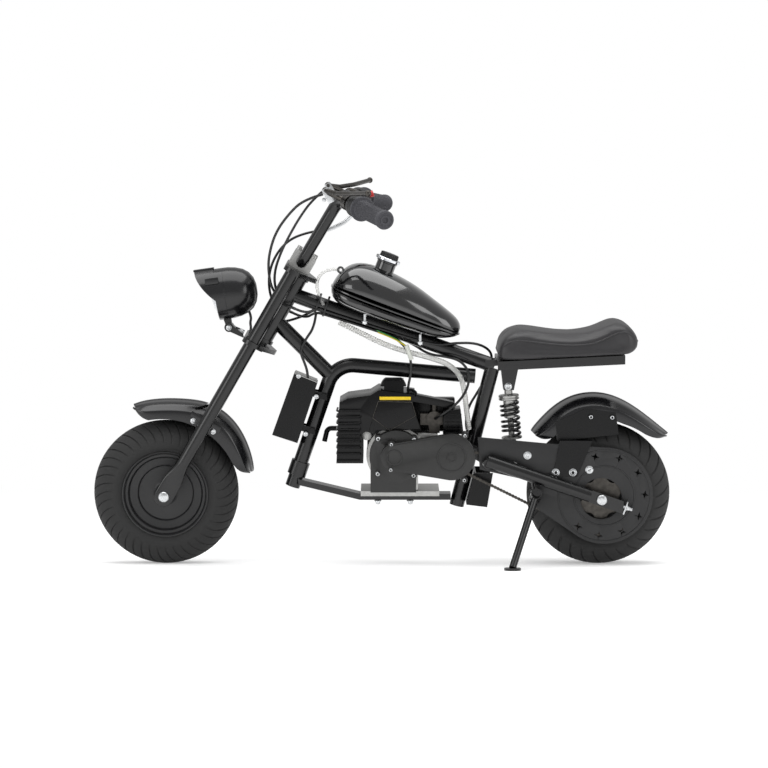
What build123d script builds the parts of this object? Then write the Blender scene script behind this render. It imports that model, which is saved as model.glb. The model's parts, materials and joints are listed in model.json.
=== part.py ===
from build123d import *

import math
import os

# Mini dirt bike with a small two-stroke engine, parked on its side stand.
# Millimetres. The bike is drawn upright, +X forward, +Y to its left, +Z up, with the tyre line at y = 0
# and the ground at z = 0. At the end everything is leaned onto the side stand in one move.

# Parked attitude
LEAN = 6.0  # degrees to the left, from upright
STAND_REACH = 186.0  # foot's centre from the tyre line
STAND_LEAD = 48.0  # foot ahead of the stand's pivot

# Wheels
REAR_AXLE_X = -418.0
FRONT_TYRE_R = 141.0
FRONT_TYRE_W = 90.0
FRONT_SHOULDER_R = 105.0
REAR_TYRE_R = 139.5
REAR_TYRE_W = 106.0
REAR_SHOULDER_R = 108.0
CROWN_BANDS = 4
TYRE_SIDES = 84  # flats round a tyre, a multiple of four so that a corner stands on the ground
RIM_R = 82.5
RIM_STEP_R = 72.0
RIM_DISH_R = 54.6
AXLE_R = 6.0
BORE_PLAY = 0.3
SEAT_GAP = 0.3  # between pieces that rest on each other
HEAD_T = 6.0
NUT_R = 11.0
THREAD_R = 5.0
THREAD_L = 12.0
HUB_R = 19.0
HUB_PROUD = 5.0  # hub's end beyond the rear tyre's side
FORK_ROOM = 19.0  # front tyre's side to the middle of a fork leg

# Steering
RAKE = 30.0
STEER_X = 192.0
STEER_Z = 514.6
FORK_OFFSET = 15.0
FORK_R = 12.7
UPPER_CLAMP_S = 63.0
LOWER_CLAMP_S = -97.0
CLAMP_T = 9.0
STEM_NUT_R = 8.5
STEM_NUT_H = 4.0
HEAD_TUBE_R = 18.0
HEAD_TUBE_TOP = 52.0
HEAD_TUBE_BOTTOM = -82.0
CUP_R = 21.0
CUP_H = 6.0
STEM_R = 12.7
STEM_PLAY = 0.6
PADDLE_W = 38.0
PADDLE_T = 8.0
PADDLE_L = 58.0

# Handlebar
BAR_R = 11.1
BAR_BASE = (157.8, 47.0, 592.0)
BAR_TOP = (83.0, 86.0, 717.0)
BAR_END = (-0.9, 308.0, 688.5)
BAR_BASE_BEND = 20.0
BAR_TOP_BEND = 42.0
GRIP_R = 16.0
GRIP_FLANGE_R = 23.5
GRIP_L = 122.0
GRIP_PLAY = 0.3
BAR_CLAMP_W = 22.0
BAR_CLAMP_Y = 20.0

# Frame tubes
TUBE_R = 14.3
BACKBONE_FRONT = (183.0, 529.0)
BACKBONE_REAR = (-214.0, 388.0)
DIAGONAL_TOP = (212.5, 479.0)
CRADLE_FOOT = (178.9, 151.7)
CRADLE_CORNER = (95.3, 392.2)
CRADLE_REAR = (-177.0, 368.0)
CRADLE_BEND = 50.0
UPRIGHT_TOP = (-210.0, 383.0)
UPRIGHT_FOOT = (-142.0, 114.0)
RAIL_W = 34.0
RAIL_T = 12.0

# Swingarm
PIVOT_X = -169.7
PIVOT_Z = 225.0
ARM_R = 12.7
ARM_FRONT_X = -200.0
CROSS_R = 10.0
DROPOUT_T = 8.0

# Chain drive
CHAIN_PITCH = 6.35
CHAIN_OUT = 8.0  # hub's end to the middle of the chain
CHAIN_W = 8.0
CHAIN_H = 6.0
CHAIN_WAIST = 4.4
DRIVE_TEETH = 13
REAR_TEETH = 72
DRIVE_X = -129.0
DRIVE_Z = 217.0
GUARD_T = 2.5
GUARD_R = 93.8
GUARD_EYE_R = 40.0
STAR_R = 78.0
STAR_SPAN = 17.0

# Seat and tank
SEAT_W = 170.0
TRAY_W = 150.0
TRAY_H = 17.0
TRAY_WALL = 2.0
TRAY_FRONT = (-218.0, 404.0)
TRAY_REAR = (-462.0, 416.0)
TANK_TILT = 20.8
TANK_CENTRE = (-22.5, 498.0)

# Cables
CABLE_R = 2.5
CABLE_PLAY = 0.35
CABLE_SIDES = 8
HOSE_R = 6.0
TIE_W = 4.0

# Across the bike, worked out from the tyres
FORK_HALF_SPAN = FRONT_TYRE_W / 2 + FORK_ROOM
FRONT_HUB_HALF = FORK_HALF_SPAN - 7.0
REAR_HUB_HALF = REAR_TYRE_W / 2 + HUB_PROUD
CHAIN_Y = REAR_HUB_HALF + CHAIN_OUT
GUARD_LOW = CHAIN_Y + 9.5
ARM_HALF_SPAN = GUARD_LOW + GUARD_T + SEAT_GAP + ARM_R


def rod(start, end, radius):
    a, b = Vector(*start), Vector(*end)
    length = (b - a).length
    body = Cylinder(radius, length, align=(Align.CENTER, Align.CENTER, Align.MIN))
    return Plane(origin=a, z_dir=b - a).location * body


def across(x, z, radius, y_low, y_high):
    return rod((x, y_low, z), (x, y_high, z), radius)


def bent_rod(points, bends, radius):
    path = FilletPolyline(*[Vector(*p) for p in points], radius=bends)
    section = Plane(origin=path @ 0, z_dir=path % 0) * Circle(radius)
    return sweep(section, path=path)


# Side plane: drawing x runs forward, drawing y runs up, and extrusion runs towards -Y
SIDE = Plane(origin=(0, 0, 0), x_dir=(1, 0, 0), z_dir=(0, -1, 0))


def slab(outline, y_low, y_high):
    # outline is a flat sketch in the side plane's own coordinates
    solid = extrude(outline, amount=y_high - y_low)
    return Pos(0, y_high, 0) * SIDE.location * solid


def plate(points, y_low, y_high):
    return slab(make_face(Polyline(*points, close=True)), y_low, y_high)


def spun(points, x, z):
    # points are (distance from the axle, y); the profile is spun about a line along Y through x, z
    profile = Plane.XY * make_face(Polyline(*points, close=True))
    return Pos(x, 0, z) * revolve(profile, axis=Axis.Y, revolution_arc=360)


# Steering frame: local x is ahead of the steering axis, local y is left, local z runs up the axis
RAKE_SIN = math.sin(math.radians(RAKE))
RAKE_COS = math.cos(math.radians(RAKE))
STEER = Plane(
    origin=(STEER_X, 0, STEER_Z),
    x_dir=(RAKE_COS, 0, RAKE_SIN),
    z_dir=(-RAKE_SIN, 0, RAKE_COS),
).location


# the front axle lies on the fork's own line, at the tyre's height over the ground
AXLE_ALONG = (FRONT_TYRE_R - STEER_Z - FORK_OFFSET * RAKE_SIN) / RAKE_COS
FRONT_AXLE_X = STEER_X + FORK_OFFSET * RAKE_COS - AXLE_ALONG * RAKE_SIN


def steer_point(ahead, y, along):
    x = STEER_X + ahead * RAKE_COS - along * RAKE_SIN
    z = STEER_Z + ahead * RAKE_SIN + along * RAKE_COS
    return (x, y, z)


def tyre_ring(radius, y):
    turns = [2 * math.pi * side / TYRE_SIDES for side in range(TYRE_SIDES)]
    return [(radius * math.cos(turn), y, radius * math.sin(turn)) for turn in turns]


def tyre(x, radius, width, shoulder_r):
    # the round crown is laid in flat bands, even in number, so that an upright or leaning tyre rests on its middle
    half = width / 2
    bead_r = (RIM_R + BORE_PLAY) / math.cos(math.pi / TYRE_SIDES)
    crown = ThreePointArc((shoulder_r, half), (radius, 0), (shoulder_r, -half))
    bands = [tuple(crown @ (step / CROWN_BANDS))[:2] for step in range(CROWN_BANDS + 1)]
    swell = ((shoulder_r + RIM_R) / 2, half)
    rings = [(bead_r, half - 12), swell, *bands, (swell[0], -half), (bead_r, 12 - half)]
    flats = []
    for ring, following in zip(rings, rings[1:] + rings[:1]):
        corners = list(zip(tyre_ring(*ring), tyre_ring(*following)))
        for (a, b), (d, c) in zip(corners, corners[1:] + corners[:1]):
            flats.append(make_face(Polyline(a, b, c, d, close=True)).face())
    return Pos(x, 0, radius) * Solid(Shell(flats))


def rim(x, z, width, hub_half):
    half = width / 2 - 12
    lip = half + 5
    half_profile = [
        (RIM_R, 0),
        (RIM_R, half),
        (RIM_R + 1.5, lip),
        (RIM_R - 3, lip),
        (RIM_R - 4, half - 3),
        (RIM_STEP_R, half - 6),
        (RIM_STEP_R - 3, half - 13),
        (RIM_DISH_R, half - 13),
        (RIM_DISH_R - 4, half - 18),
        (HUB_R, half - 18),
        (HUB_R, hub_half),
        (AXLE_R + BORE_PLAY, hub_half),
        (AXLE_R + BORE_PLAY, 0),
    ]
    mirrored = [(r, -y) for r, y in reversed(half_profile[1:-1])]
    return spun(half_profile + mirrored, x, z)


def front_tyre():
    return tyre(FRONT_AXLE_X, FRONT_TYRE_R, FRONT_TYRE_W, FRONT_SHOULDER_R)


def front_rim():
    return rim(FRONT_AXLE_X, FRONT_TYRE_R, FRONT_TYRE_W, FRONT_HUB_HALF)


def rear_tyre():
    return tyre(REAR_AXLE_X, REAR_TYRE_R, REAR_TYRE_W, REAR_SHOULDER_R)


def rear_rim():
    return rim(REAR_AXLE_X, REAR_TYRE_R, REAR_TYRE_W, REAR_HUB_HALF)


def wheel_axle(x, z, half, head_r):
    # domed head on the left, nut and bare threaded end on the right
    body = across(x, z, AXLE_R, -half, half)
    body += across(x, z, head_r, half, half + HEAD_T)
    nut = extrude(RegularPolygon(NUT_R, 6), amount=HEAD_T)
    body += Pos(x, -half, z) * Rot(90, 0, 0) * nut
    body += across(x, z, THREAD_R, -(half + HEAD_T + THREAD_L), -half)
    return body


def front_axle():
    return wheel_axle(FRONT_AXLE_X, FRONT_TYRE_R, FORK_HALF_SPAN + PADDLE_T / 2 + 0.3, 10.5)


def fork_legs():
    bottom = AXLE_ALONG
    legs = []
    for side in (-1, 1):
        y = side * FORK_HALF_SPAN
        top = UPPER_CLAMP_S - CLAMP_T / 2
        leg = rod((FORK_OFFSET, y, bottom + 40), (FORK_OFFSET, y, top), FORK_R)
        paddle = Box(PADDLE_W, PADDLE_T, PADDLE_L)
        paddle += Pos(0, 0, -PADDLE_L / 2) * Rot(90, 0, 0) * Cylinder(PADDLE_W / 2, PADDLE_T)
        leg += Pos(FORK_OFFSET, y, bottom + PADDLE_L / 2) * paddle
        leg -= Pos(FORK_OFFSET, y, bottom) * Rot(90, 0, 0) * Cylinder(AXLE_R + BORE_PLAY, PADDLE_T * 2)
        legs.append(STEER * leg)
    return legs[0] + legs[1]


def clamp_plate(along):
    holes = [(FORK_OFFSET, FORK_HALF_SPAN), (FORK_OFFSET, -FORK_HALF_SPAN)]
    outline = make_hull(
        (Pos(FORK_OFFSET, FORK_HALF_SPAN) * Circle(19)).edges()
        + (Pos(FORK_OFFSET, -FORK_HALF_SPAN) * Circle(19)).edges()
        + (Pos(-10, 0) * Circle(25)).edges()
    )
    body = Pos(0, 0, along - CLAMP_T / 2) * extrude(outline, amount=CLAMP_T)
    return body, holes


def upper_clamp():
    body, holes = clamp_plate(UPPER_CLAMP_S)
    nut = Pos(0, 0, UPPER_CLAMP_S + CLAMP_T / 2) * extrude(RegularPolygon(STEM_NUT_R, 6), amount=STEM_NUT_H)
    return STEER * (body + nut)


def lower_clamp():
    body, holes = clamp_plate(LOWER_CLAMP_S)
    for ahead, y in holes:
        body -= Pos(ahead, y, LOWER_CLAMP_S) * Cylinder(FORK_R + 0.2, CLAMP_T * 2)
    low = LOWER_CLAMP_S
    body += rod((0, 0, low), (0, 0, UPPER_CLAMP_S - CLAMP_T / 2), STEM_R)
    body += rod((0, 0, low - 12), (0, 0, low), 11)
    return STEER * body


def bar_points(side):
    return [(x, side * y, z) for x, y, z in (BAR_BASE, BAR_TOP, BAR_END)]


def handlebar():
    left = bar_points(1)
    right = list(reversed(bar_points(-1)))
    bends = [BAR_TOP_BEND, BAR_BASE_BEND, BAR_BASE_BEND, BAR_TOP_BEND]
    return bent_rod(right + left, bends, BAR_R)


def bar_line(side):
    start = Vector(*bar_points(side)[1])
    end = Vector(*bar_points(side)[2])
    return start, end, (end - start).normalized()


def on_bar(side, back_from_end):
    start, end, way = bar_line(side)
    return Plane(origin=end - way * back_from_end, z_dir=way).location


def sleeve(side, from_end, to_end, radius):
    # from_end and to_end are distances back from the bar's end, the larger one inboard
    body = Cylinder(radius, from_end - to_end, align=(Align.CENTER, Align.CENTER, Align.MIN))
    body -= Cylinder(BAR_R + GRIP_PLAY, from_end - to_end, align=(Align.CENTER, Align.CENTER, Align.MIN))
    return on_bar(side, from_end) * body


def grips():
    body = None
    for side in (-1, 1):
        grip = sleeve(side, GRIP_L, 0, GRIP_R)
        grip += sleeve(side, GRIP_L, GRIP_L - 7, GRIP_FLANGE_R)
        cap = Cylinder(GRIP_R, 4, align=(Align.CENTER, Align.CENTER, Align.MIN))
        grip += on_bar(side, 0) * Pos(0, 0, 0.3) * cap
        grip += on_bar(side, 0) * (
            Cylinder(GRIP_R, 0.6, align=(Align.CENTER, Align.CENTER, Align.MIN))
            - Cylinder(BAR_R + GRIP_PLAY, 0.6, align=(Align.CENTER, Align.CENTER, Align.MIN))
        )
        body = grip if body is None else body + grip
    return body


def switch_housings():
    body = None
    for side in (-1, 1):
        case = sleeve(side, GRIP_L + 34, GRIP_L + 1, 21)
        body = case if body is None else body + case
    return body


LEVER_PIVOT = (110.0, 112.0, 733.0)
LEVER_KNEE = (88.0, 142.0, 729.0)
LEVER_MIDDLE = (60.0, 200.0, 731.0)
LEVER_TIP = (29.0, 290.0, 736.0)


def mirror_y(points, side):
    return [(x, side * y, z) for x, y, z in points]


def brake_levers():
    body = None
    for side in (-1, 1):
        start, end, way = bar_line(side)
        seat = end - way * (GRIP_L + 63)
        pivot = Vector(LEVER_PIVOT[0], side * LEVER_PIVOT[1], LEVER_PIVOT[2])
        lever = rod(tuple(seat), tuple(pivot), 6)
        lever += sleeve(side, GRIP_L + 74, GRIP_L + 52, 16)
        lever -= rod(tuple(start), tuple(end), BAR_R + GRIP_PLAY)
        points = mirror_y((LEVER_PIVOT, LEVER_KNEE, LEVER_MIDDLE, LEVER_TIP), side)
        lever += bent_rod(points, [30, 60], 4.5)
        lever += Pos(*points[0]) * Sphere(7)
        lever += Pos(*points[-1]) * Sphere(6)
        body = lever if body is None else body + lever
    return body


def bar_clamps():
    body = None
    base = Vector(BAR_BASE[0] - STEER_X, 0, BAR_BASE[2] - STEER_Z)
    along = -base.X * RAKE_SIN + base.Z * RAKE_COS
    ahead = base.X * RAKE_COS + base.Z * RAKE_SIN
    floor = UPPER_CLAMP_S + CLAMP_T / 2
    height = along + 17 - floor
    for side in (-1, 1):
        y = side * BAR_CLAMP_Y
        block = Pos(ahead, y, floor + height / 2) * Box(46, BAR_CLAMP_W, height)
        block = fillet(block.edges().filter_by(Axis.Y), 6)
        block -= Pos(ahead, y, along) * Rot(90, 0, 0) * Cylinder(BAR_R + 0.1, BAR_CLAMP_W * 2)
        for shift in (-17, 17):
            block += rod((ahead + shift, y, along + 16), (ahead + shift, y, along + 22), 5)
        body = STEER * block if body is None else body + STEER * block
    return body


FENDER_T = 2.5
FRONT_FENDER_X = FRONT_AXLE_X - 16.0
FRONT_FENDER_Z = FRONT_TYRE_R + 38.0
FRONT_FENDER_R = FRONT_TYRE_R + 13.0
FRONT_FENDER_HALF = FRONT_TYRE_W / 2 + 3.0
FRONT_FENDER_START = 60.0
FRONT_FENDER_SPAN = 116.0
REAR_FENDER_X = REAR_AXLE_X + 8.0
REAR_FENDER_Z = REAR_TYRE_R + 50.5
REAR_FENDER_R = REAR_TYRE_R + 6.5
REAR_FENDER_HALF = REAR_TYRE_W / 2 + 7.0
REAR_FENDER_START = 33.0
REAR_FENDER_SPAN = 90.0
REAR_FENDER_TAIL = 68.0


def fender_section(radius, half, depth):
    def shell(r, w, low):
        edges = [
            Line((low, -w), (r - 20, -w)),
            ThreePointArc((r - 20, -w), (r - 8, -w + 8), (r - 4, -w + 24)),
            ThreePointArc((r - 4, -w + 24), (r, 0), (r - 4, w - 24)),
            ThreePointArc((r - 4, w - 24), (r - 8, w - 8), (r - 20, w)),
            Line((r - 20, w), (low, w)),
            Line((low, w), (low, -w)),
        ]
        return make_face(edges)

    ridge = Pos(radius, 0) * Rectangle(4, 10)
    outer = shell(radius, half, radius - depth)
    inner = shell(radius - FENDER_T, half - FENDER_T, radius - depth - 1)
    return outer + ridge - inner


def fender_arc(section, x, z, start, span):
    # start and span are degrees up from +X, seen from the left of the bike
    arc = revolve(section, axis=Axis.Y, revolution_arc=span)
    return Pos(x, 0, z) * Rot(0, -(start + span), 0) * arc


def front_fender():
    section = fender_section(FRONT_FENDER_R, FRONT_FENDER_HALF, 48)
    body = fender_arc(section, FRONT_FENDER_X, FRONT_FENDER_Z, FRONT_FENDER_START, FRONT_FENDER_SPAN)
    body -= across(FRONT_AXLE_X + 6, FRONT_TYRE_R, FRONT_TYRE_R + 8.5, -80, 80)
    base = FRONT_FENDER_Z + FRONT_FENDER_R - 58
    leg_x = FRONT_AXLE_X - (base - FRONT_TYRE_R) * math.tan(math.radians(RAKE))
    inner, outer = FRONT_FENDER_HALF - 1, FORK_HALF_SPAN - FORK_R - SEAT_GAP
    for side in (-1, 1):
        tab = [(leg_x - 30, base - 13), (leg_x + 26, base + 21), (leg_x + 22, base + 31), (leg_x - 34, base - 1)]
        body += plate(tab, min(side * inner, side * outer), max(side * inner, side * outer))
    return body


def rear_fender():
    section = fender_section(REAR_FENDER_R, REAR_FENDER_HALF, 46)
    body = fender_arc(section, REAR_FENDER_X, REAR_FENDER_Z, REAR_FENDER_START, REAR_FENDER_SPAN)
    end = REAR_FENDER_START + REAR_FENDER_SPAN
    face = Pos(REAR_FENDER_X, 0, REAR_FENDER_Z) * Rot(0, -end, 0) * section
    way = (-math.sin(math.radians(end)), 0, math.cos(math.radians(end)))
    body += extrude(face, amount=REAR_FENDER_TAIL, dir=way)
    body -= across(REAR_AXLE_X, REAR_TYRE_R, REAR_TYRE_R + 9, -90, 90)
    # ahead of the crown's centre and over it
    skirt = [(110, 72), (104, 50), (-230, -40), (-230, 32), (-135, 67), (-30, 97), (80, 72)]
    return body - plate([(REAR_FENDER_X + x, REAR_FENDER_Z + z) for x, z in skirt], -90, 90)


HEADLIGHT_X = 315.0
HEADLIGHT_Z = 528.0
HEADLIGHT_R = 50.0
HEADLIGHT_TILT = 8.0
RING_W = 19.0
DOME_L = 60.0
VISOR_L = 36.0


def headlight_place():
    # local z looks out of the lamp, local x points down
    tilt = math.radians(HEADLIGHT_TILT)
    return Plane(
        origin=(HEADLIGHT_X, 0, HEADLIGHT_Z),
        x_dir=(-math.sin(tilt), 0, -math.cos(tilt)),
        z_dir=(math.cos(tilt), 0, -math.sin(tilt)),
    ).location


def headlight():
    r = HEADLIGHT_R
    back = -RING_W / 2
    outer = make_face([
        Line((0, back), (r - 2, back)),
        ThreePointArc((r - 2, back), (r * 0.8, back - DOME_L * 0.62), (r * 0.3, back - DOME_L)),
        Line((r * 0.3, back - DOME_L), (0, back - DOME_L)),
        Line((0, back - DOME_L), (0, back)),
    ])
    dome = Rot(90, 0, 0) * revolve(outer, axis=Axis.Y, revolution_arc=360)
    ring = Cylinder(r, RING_W)
    ring -= Pos(0, 0, RING_W / 2) * Cylinder(r - 4, 8)
    visor = Cylinder(r, VISOR_L, align=(Align.CENTER, Align.CENTER, Align.MIN))
    visor -= Cylinder(r - 2.5, VISOR_L, align=(Align.CENTER, Align.CENTER, Align.MIN))
    visor -= Pos(60, 0, VISOR_L / 2) * Box(120, 200, VISOR_L + 2)
    cut = make_face(Polyline((-r - 9, VISOR_L + 1), (-r + 2, VISOR_L), (-r + 22, VISOR_L - 6),
                             (-12, 8), (0, 0), (40, 0), (40, VISOR_L + 1), close=True))
    body = dome + ring
    visor -= Rot(90, 0, 0) * extrude(cut, amount=100, both=True)
    body += Pos(0, 0, RING_W / 2) * visor
    crest = Pos(-r - 1.2, 0, RING_W / 2 + 6) * Box(4, 16, 46)
    body += crest
    return headlight_place() * body


def headlight_lens():
    r = HEADLIGHT_R - 4.3
    front = RING_W / 2 - 3.7
    face = make_face([
        Line((0, front), (r, front)),
        Line((r, front), (r, front + 2)),
        ThreePointArc((r, front + 2), (r * 0.62, front + 9), (r * 0.2, front + 12)),
        Line((r * 0.2, front + 12), (0, front + 12)),
        Line((0, front + 12), (0, front)),
    ])
    return headlight_place() * Rot(90, 0, 0) * revolve(face, axis=Axis.Y, revolution_arc=360)


def headlight_bracket():
    eye = (300.0, 0, 464.0)
    front_edge = steer_point(34.6, 0, LOWER_CLAMP_S)
    bar = plate(
        [(front_edge[0] + 2, front_edge[2] - 4), (front_edge[0] + 6, front_edge[2] + 6), (297, 472), (304, 458)],
        -12, 12)
    bar += across(eye[0], eye[2], 9, -12, 12)
    bar += across(eye[0], eye[2], 6, -16, 16)
    bar += plate([(294, 466), (306, 466), (313, 486), (297, 486)], -9, 9)
    return bar - headlight_place() * Cylinder(HEADLIGHT_R + SEAT_GAP, 3 * RING_W)


def in_plane(point):
    return (point[0], 0, point[1])


SHOCK_TOP = (-241.0, 349.5)
SHOCK_BOTTOM = (-251.0, 226.0)
SHOCK_BOLT_R = 4.0
EAR_INNER = 10.5
EAR_T = 4.0
SEAT_RAIL_H = 12.0
SEAT_RAIL_W = 34.0


def tray_z(x):
    slope = (TRAY_REAR[1] - TRAY_FRONT[1]) / (TRAY_REAR[0] - TRAY_FRONT[0])
    return TRAY_FRONT[1] + (x - TRAY_FRONT[0]) * slope


def main_frame():
    top = STEER * rod((0, 0, HEAD_TUBE_BOTTOM), (0, 0, HEAD_TUBE_TOP), HEAD_TUBE_R)
    for low in (HEAD_TUBE_BOTTOM - CUP_H, HEAD_TUBE_TOP):
        top += STEER * rod((0, 0, low), (0, 0, low + CUP_H), CUP_R)
    body = top
    body += rod(in_plane(BACKBONE_FRONT), in_plane(BACKBONE_REAR), TUBE_R)
    body += rod(in_plane(DIAGONAL_TOP), (104.0, 0, 370.5), TUBE_R)
    body += bent_rod([in_plane(CRADLE_FOOT), in_plane(CRADLE_CORNER), in_plane(CRADLE_REAR)], [CRADLE_BEND], TUBE_R)
    body += rod(in_plane(UPRIGHT_FOOT), in_plane(UPRIGHT_TOP), TUBE_R)
    rail_top = 139.0
    rail = [(47, rail_top), (-130, rail_top), (-130, rail_top - RAIL_T), (47, rail_top - RAIL_T)]
    body += plate(rail, -RAIL_W / 2, RAIL_W / 2)
    slope = [(47, rail_top), (168, 168), (166, 168 - RAIL_T), (47, rail_top - RAIL_T)]
    body += plate(slope, -RAIL_W / 2, RAIL_W / 2)
    foot = Vector(*in_plane(CRADLE_FOOT))
    up = (Vector(*in_plane(CRADLE_CORNER)) - foot).normalized()
    body += rod(tuple(foot + up * 24), tuple(foot + up * 52), TUBE_R + 4)
    under = TRAY_WALL + SEAT_GAP
    rail_front, rail_rear = -196.0, TRAY_REAR[0] + 12
    body += plate(
        [
            (rail_front, tray_z(rail_front) - under),
            (rail_rear, tray_z(rail_rear) - under),
            (rail_rear, tray_z(rail_rear) - under - SEAT_RAIL_H),
            (rail_front, tray_z(rail_front) - under - SEAT_RAIL_H),
        ],
        -SEAT_RAIL_W / 2,
        SEAT_RAIL_W / 2,
    )
    for side in (-1, 1):
        low = min(side * EAR_INNER, side * (EAR_INNER + EAR_T))
        ear = plate([(-226, 392), (-262, 393), (-252, 342), (-232, 342)], low, low + EAR_T)
        body += ear
    body -= across(SHOCK_TOP[0], SHOCK_TOP[1], SHOCK_BOLT_R + 0.2, -30, 30)
    body -= across(PIVOT_X, PIVOT_Z, AXLE_R + 0.3, -30, 30)
    body -= STEER * rod((0, 0, -150), (0, 0, 80), STEM_R + STEM_PLAY)
    return body


def shock_way():
    top = Vector(SHOCK_TOP[0], 0, SHOCK_TOP[1])
    bottom = Vector(SHOCK_BOTTOM[0], 0, SHOCK_BOTTOM[1])
    return bottom, (top - bottom).normalized(), (top - bottom).length


SPRING_OUT_R = 20.0
SPRING_WIRE_R = 3.6
SPRING_LOW = 24.0
SPRING_HIGH = 96.0
SPRING_TURNS = 6.5


def shock_absorber():
    bottom, way, length = shock_way()
    place = Plane(origin=bottom, z_dir=way).location

    def part_of(low, high, radius):
        return place * rod((0, 0, low), (0, 0, high), radius)

    body = across(*SHOCK_TOP, 9, -9.8, 9.8) + across(*SHOCK_BOTTOM, 9, -9.8, 9.8)
    body += part_of(0, SPRING_LOW - 4, 8)
    body += part_of(SPRING_LOW - 4, SPRING_LOW, SPRING_OUT_R)
    body += part_of(0, 70, 6)
    body += part_of(60, length - 20, 12)
    body += part_of(60, length, 8)
    body += part_of(SPRING_HIGH, SPRING_HIGH + 10, SPRING_OUT_R)
    for point in (SHOCK_TOP, SHOCK_BOTTOM):
        body -= across(*point, SHOCK_BOLT_R + 0.2, -20, 20)
    return body


def shock_spring():
    bottom, way, length = shock_way()
    place = Plane(origin=bottom, z_dir=way).location
    start = SPRING_LOW + SEAT_GAP + SPRING_WIRE_R
    rise = SPRING_HIGH - SPRING_LOW - 2 * (SEAT_GAP + SPRING_WIRE_R)
    coil_r = SPRING_OUT_R - SPRING_WIRE_R
    line = Helix(pitch=rise / SPRING_TURNS, height=rise, radius=coil_r)
    section = Plane(origin=line @ 0, z_dir=line % 0) * RegularPolygon(SPRING_WIRE_R, 6)
    wire = sweep(section, path=line, is_frenet=True)
    return place * Pos(0, 0, start) * wire


def shock_bolts():
    body = None
    for point, half in ((SHOCK_TOP, 17), (SHOCK_BOTTOM, 17)):
        bolt = across(*point, SHOCK_BOLT_R, -half, half)
        for side in (-1, 1):
            bolt += across(*point, 7.5, min(side * 14.8, side * 19), max(side * 14.8, side * 19))
        body = bolt if body is None else body + bolt
    return body


def arm_z(x):
    slope = (PIVOT_Z - REAR_TYRE_R) / (PIVOT_X - REAR_AXLE_X)
    return PIVOT_Z + (x - PIVOT_X) * slope


CROSS_FRONT_Z = 208.0
CROSS_REAR_X = -247.0


def link_plate(a, radius_a, b, radius_b, y_low, y_high):
    outline = make_hull((Pos(*a) * Circle(radius_a)).edges() + (Pos(*b) * Circle(radius_b)).edges())
    return slab(outline, y_low, y_high)


def swingarm():
    rear_x = REAR_AXLE_X + 22
    body = across(ARM_FRONT_X, CROSS_FRONT_Z, CROSS_R, -ARM_HALF_SPAN, ARM_HALF_SPAN)
    body += across(CROSS_REAR_X, arm_z(CROSS_REAR_X), ARM_R - 0.5, -ARM_HALF_SPAN, ARM_HALF_SPAN)
    for side in (-1, 1):
        y = side * ARM_HALF_SPAN
        body += rod((ARM_FRONT_X + 2, y, arm_z(ARM_FRONT_X + 2)), (rear_x, y, arm_z(rear_x)), ARM_R)
        half = DROPOUT_T / 2
        drop = [
            (rear_x + 26, arm_z(rear_x + 26) + 12),
            (REAR_AXLE_X - 42, arm_z(REAR_AXLE_X - 42) + 12),
            (REAR_AXLE_X - 42, arm_z(REAR_AXLE_X - 42) - 13),
            (rear_x + 26, arm_z(rear_x + 26) - 13),
        ]
        body += plate(drop, y - half, y + half)
        low = min(side * 14.6, side * 21)
        body += link_plate((PIVOT_X, PIVOT_Z), 12, (ARM_FRONT_X, CROSS_FRONT_Z), 12, low, low + 6.4)
        low = min(side * EAR_INNER, side * (EAR_INNER + EAR_T))
        body += link_plate(SHOCK_BOTTOM, 9, (CROSS_REAR_X, arm_z(CROSS_REAR_X)), 10, low, low + EAR_T)
    body += across(PIVOT_X, PIVOT_Z, AXLE_R, -28, 28)
    for side in (-1, 1):
        body += across(PIVOT_X, PIVOT_Z, 10, min(side * 20, side * 27), max(side * 20, side * 27))
    body -= across(REAR_AXLE_X, REAR_TYRE_R, AXLE_R + BORE_PLAY, -120, 120)
    body -= across(*SHOCK_BOTTOM, SHOCK_BOLT_R + 0.2, -30, 30)
    return body


def rear_axle():
    half = ARM_HALF_SPAN + DROPOUT_T / 2 + 0.3
    body = wheel_axle(REAR_AXLE_X, REAR_TYRE_R, half, 10.5)
    inner = ARM_HALF_SPAN - DROPOUT_T / 2 - 0.3
    for side in (-1, 1):
        body += across(REAR_AXLE_X, REAR_TYRE_R, 9, min(side * 70, side * inner), max(side * 70, side * inner))
    return body


def pitch_radius(teeth):
    return CHAIN_PITCH / 2 / math.sin(math.pi / teeth)


def sprocket(x, z, teeth, thickness):
    # teeth stay just inside the chain's own loop
    tip = pitch_radius(teeth) - CHAIN_H / 2 - 0.35
    root = tip - 2.2
    points = []
    for index in range(teeth):
        for share, radius in ((0.0, root), (0.3, tip), (0.7, tip)):
            angle = 2 * math.pi * (index + share) / teeth
            points.append((radius * math.cos(angle), radius * math.sin(angle)))
    face = make_face(Polyline(*points, close=True))
    return Pos(x, 0, z) * slab(face, CHAIN_Y - thickness / 2, CHAIN_Y + thickness / 2)


def drive_sprocket():
    body = sprocket(DRIVE_X, DRIVE_Z, DRIVE_TEETH, 4)
    return body + across(DRIVE_X, DRIVE_Z, 6.5, 50, REDUCTION_Y - 0.3)


def rear_sprocket():
    body = sprocket(REAR_AXLE_X, REAR_TYRE_R, REAR_TEETH, 3)
    for index in range(6):
        angle = math.radians(index * 60)
        x = REAR_AXLE_X + 48 * math.cos(angle)
        z = REAR_TYRE_R + 48 * math.sin(angle)
        body -= across(x, z, 13, 40, 90)
    body += across(REAR_AXLE_X, REAR_TYRE_R, 26, REAR_HUB_HALF, CHAIN_Y)
    return body - across(REAR_AXLE_X, REAR_TYRE_R, AXLE_R + BORE_PLAY, 40, 90)


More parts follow.
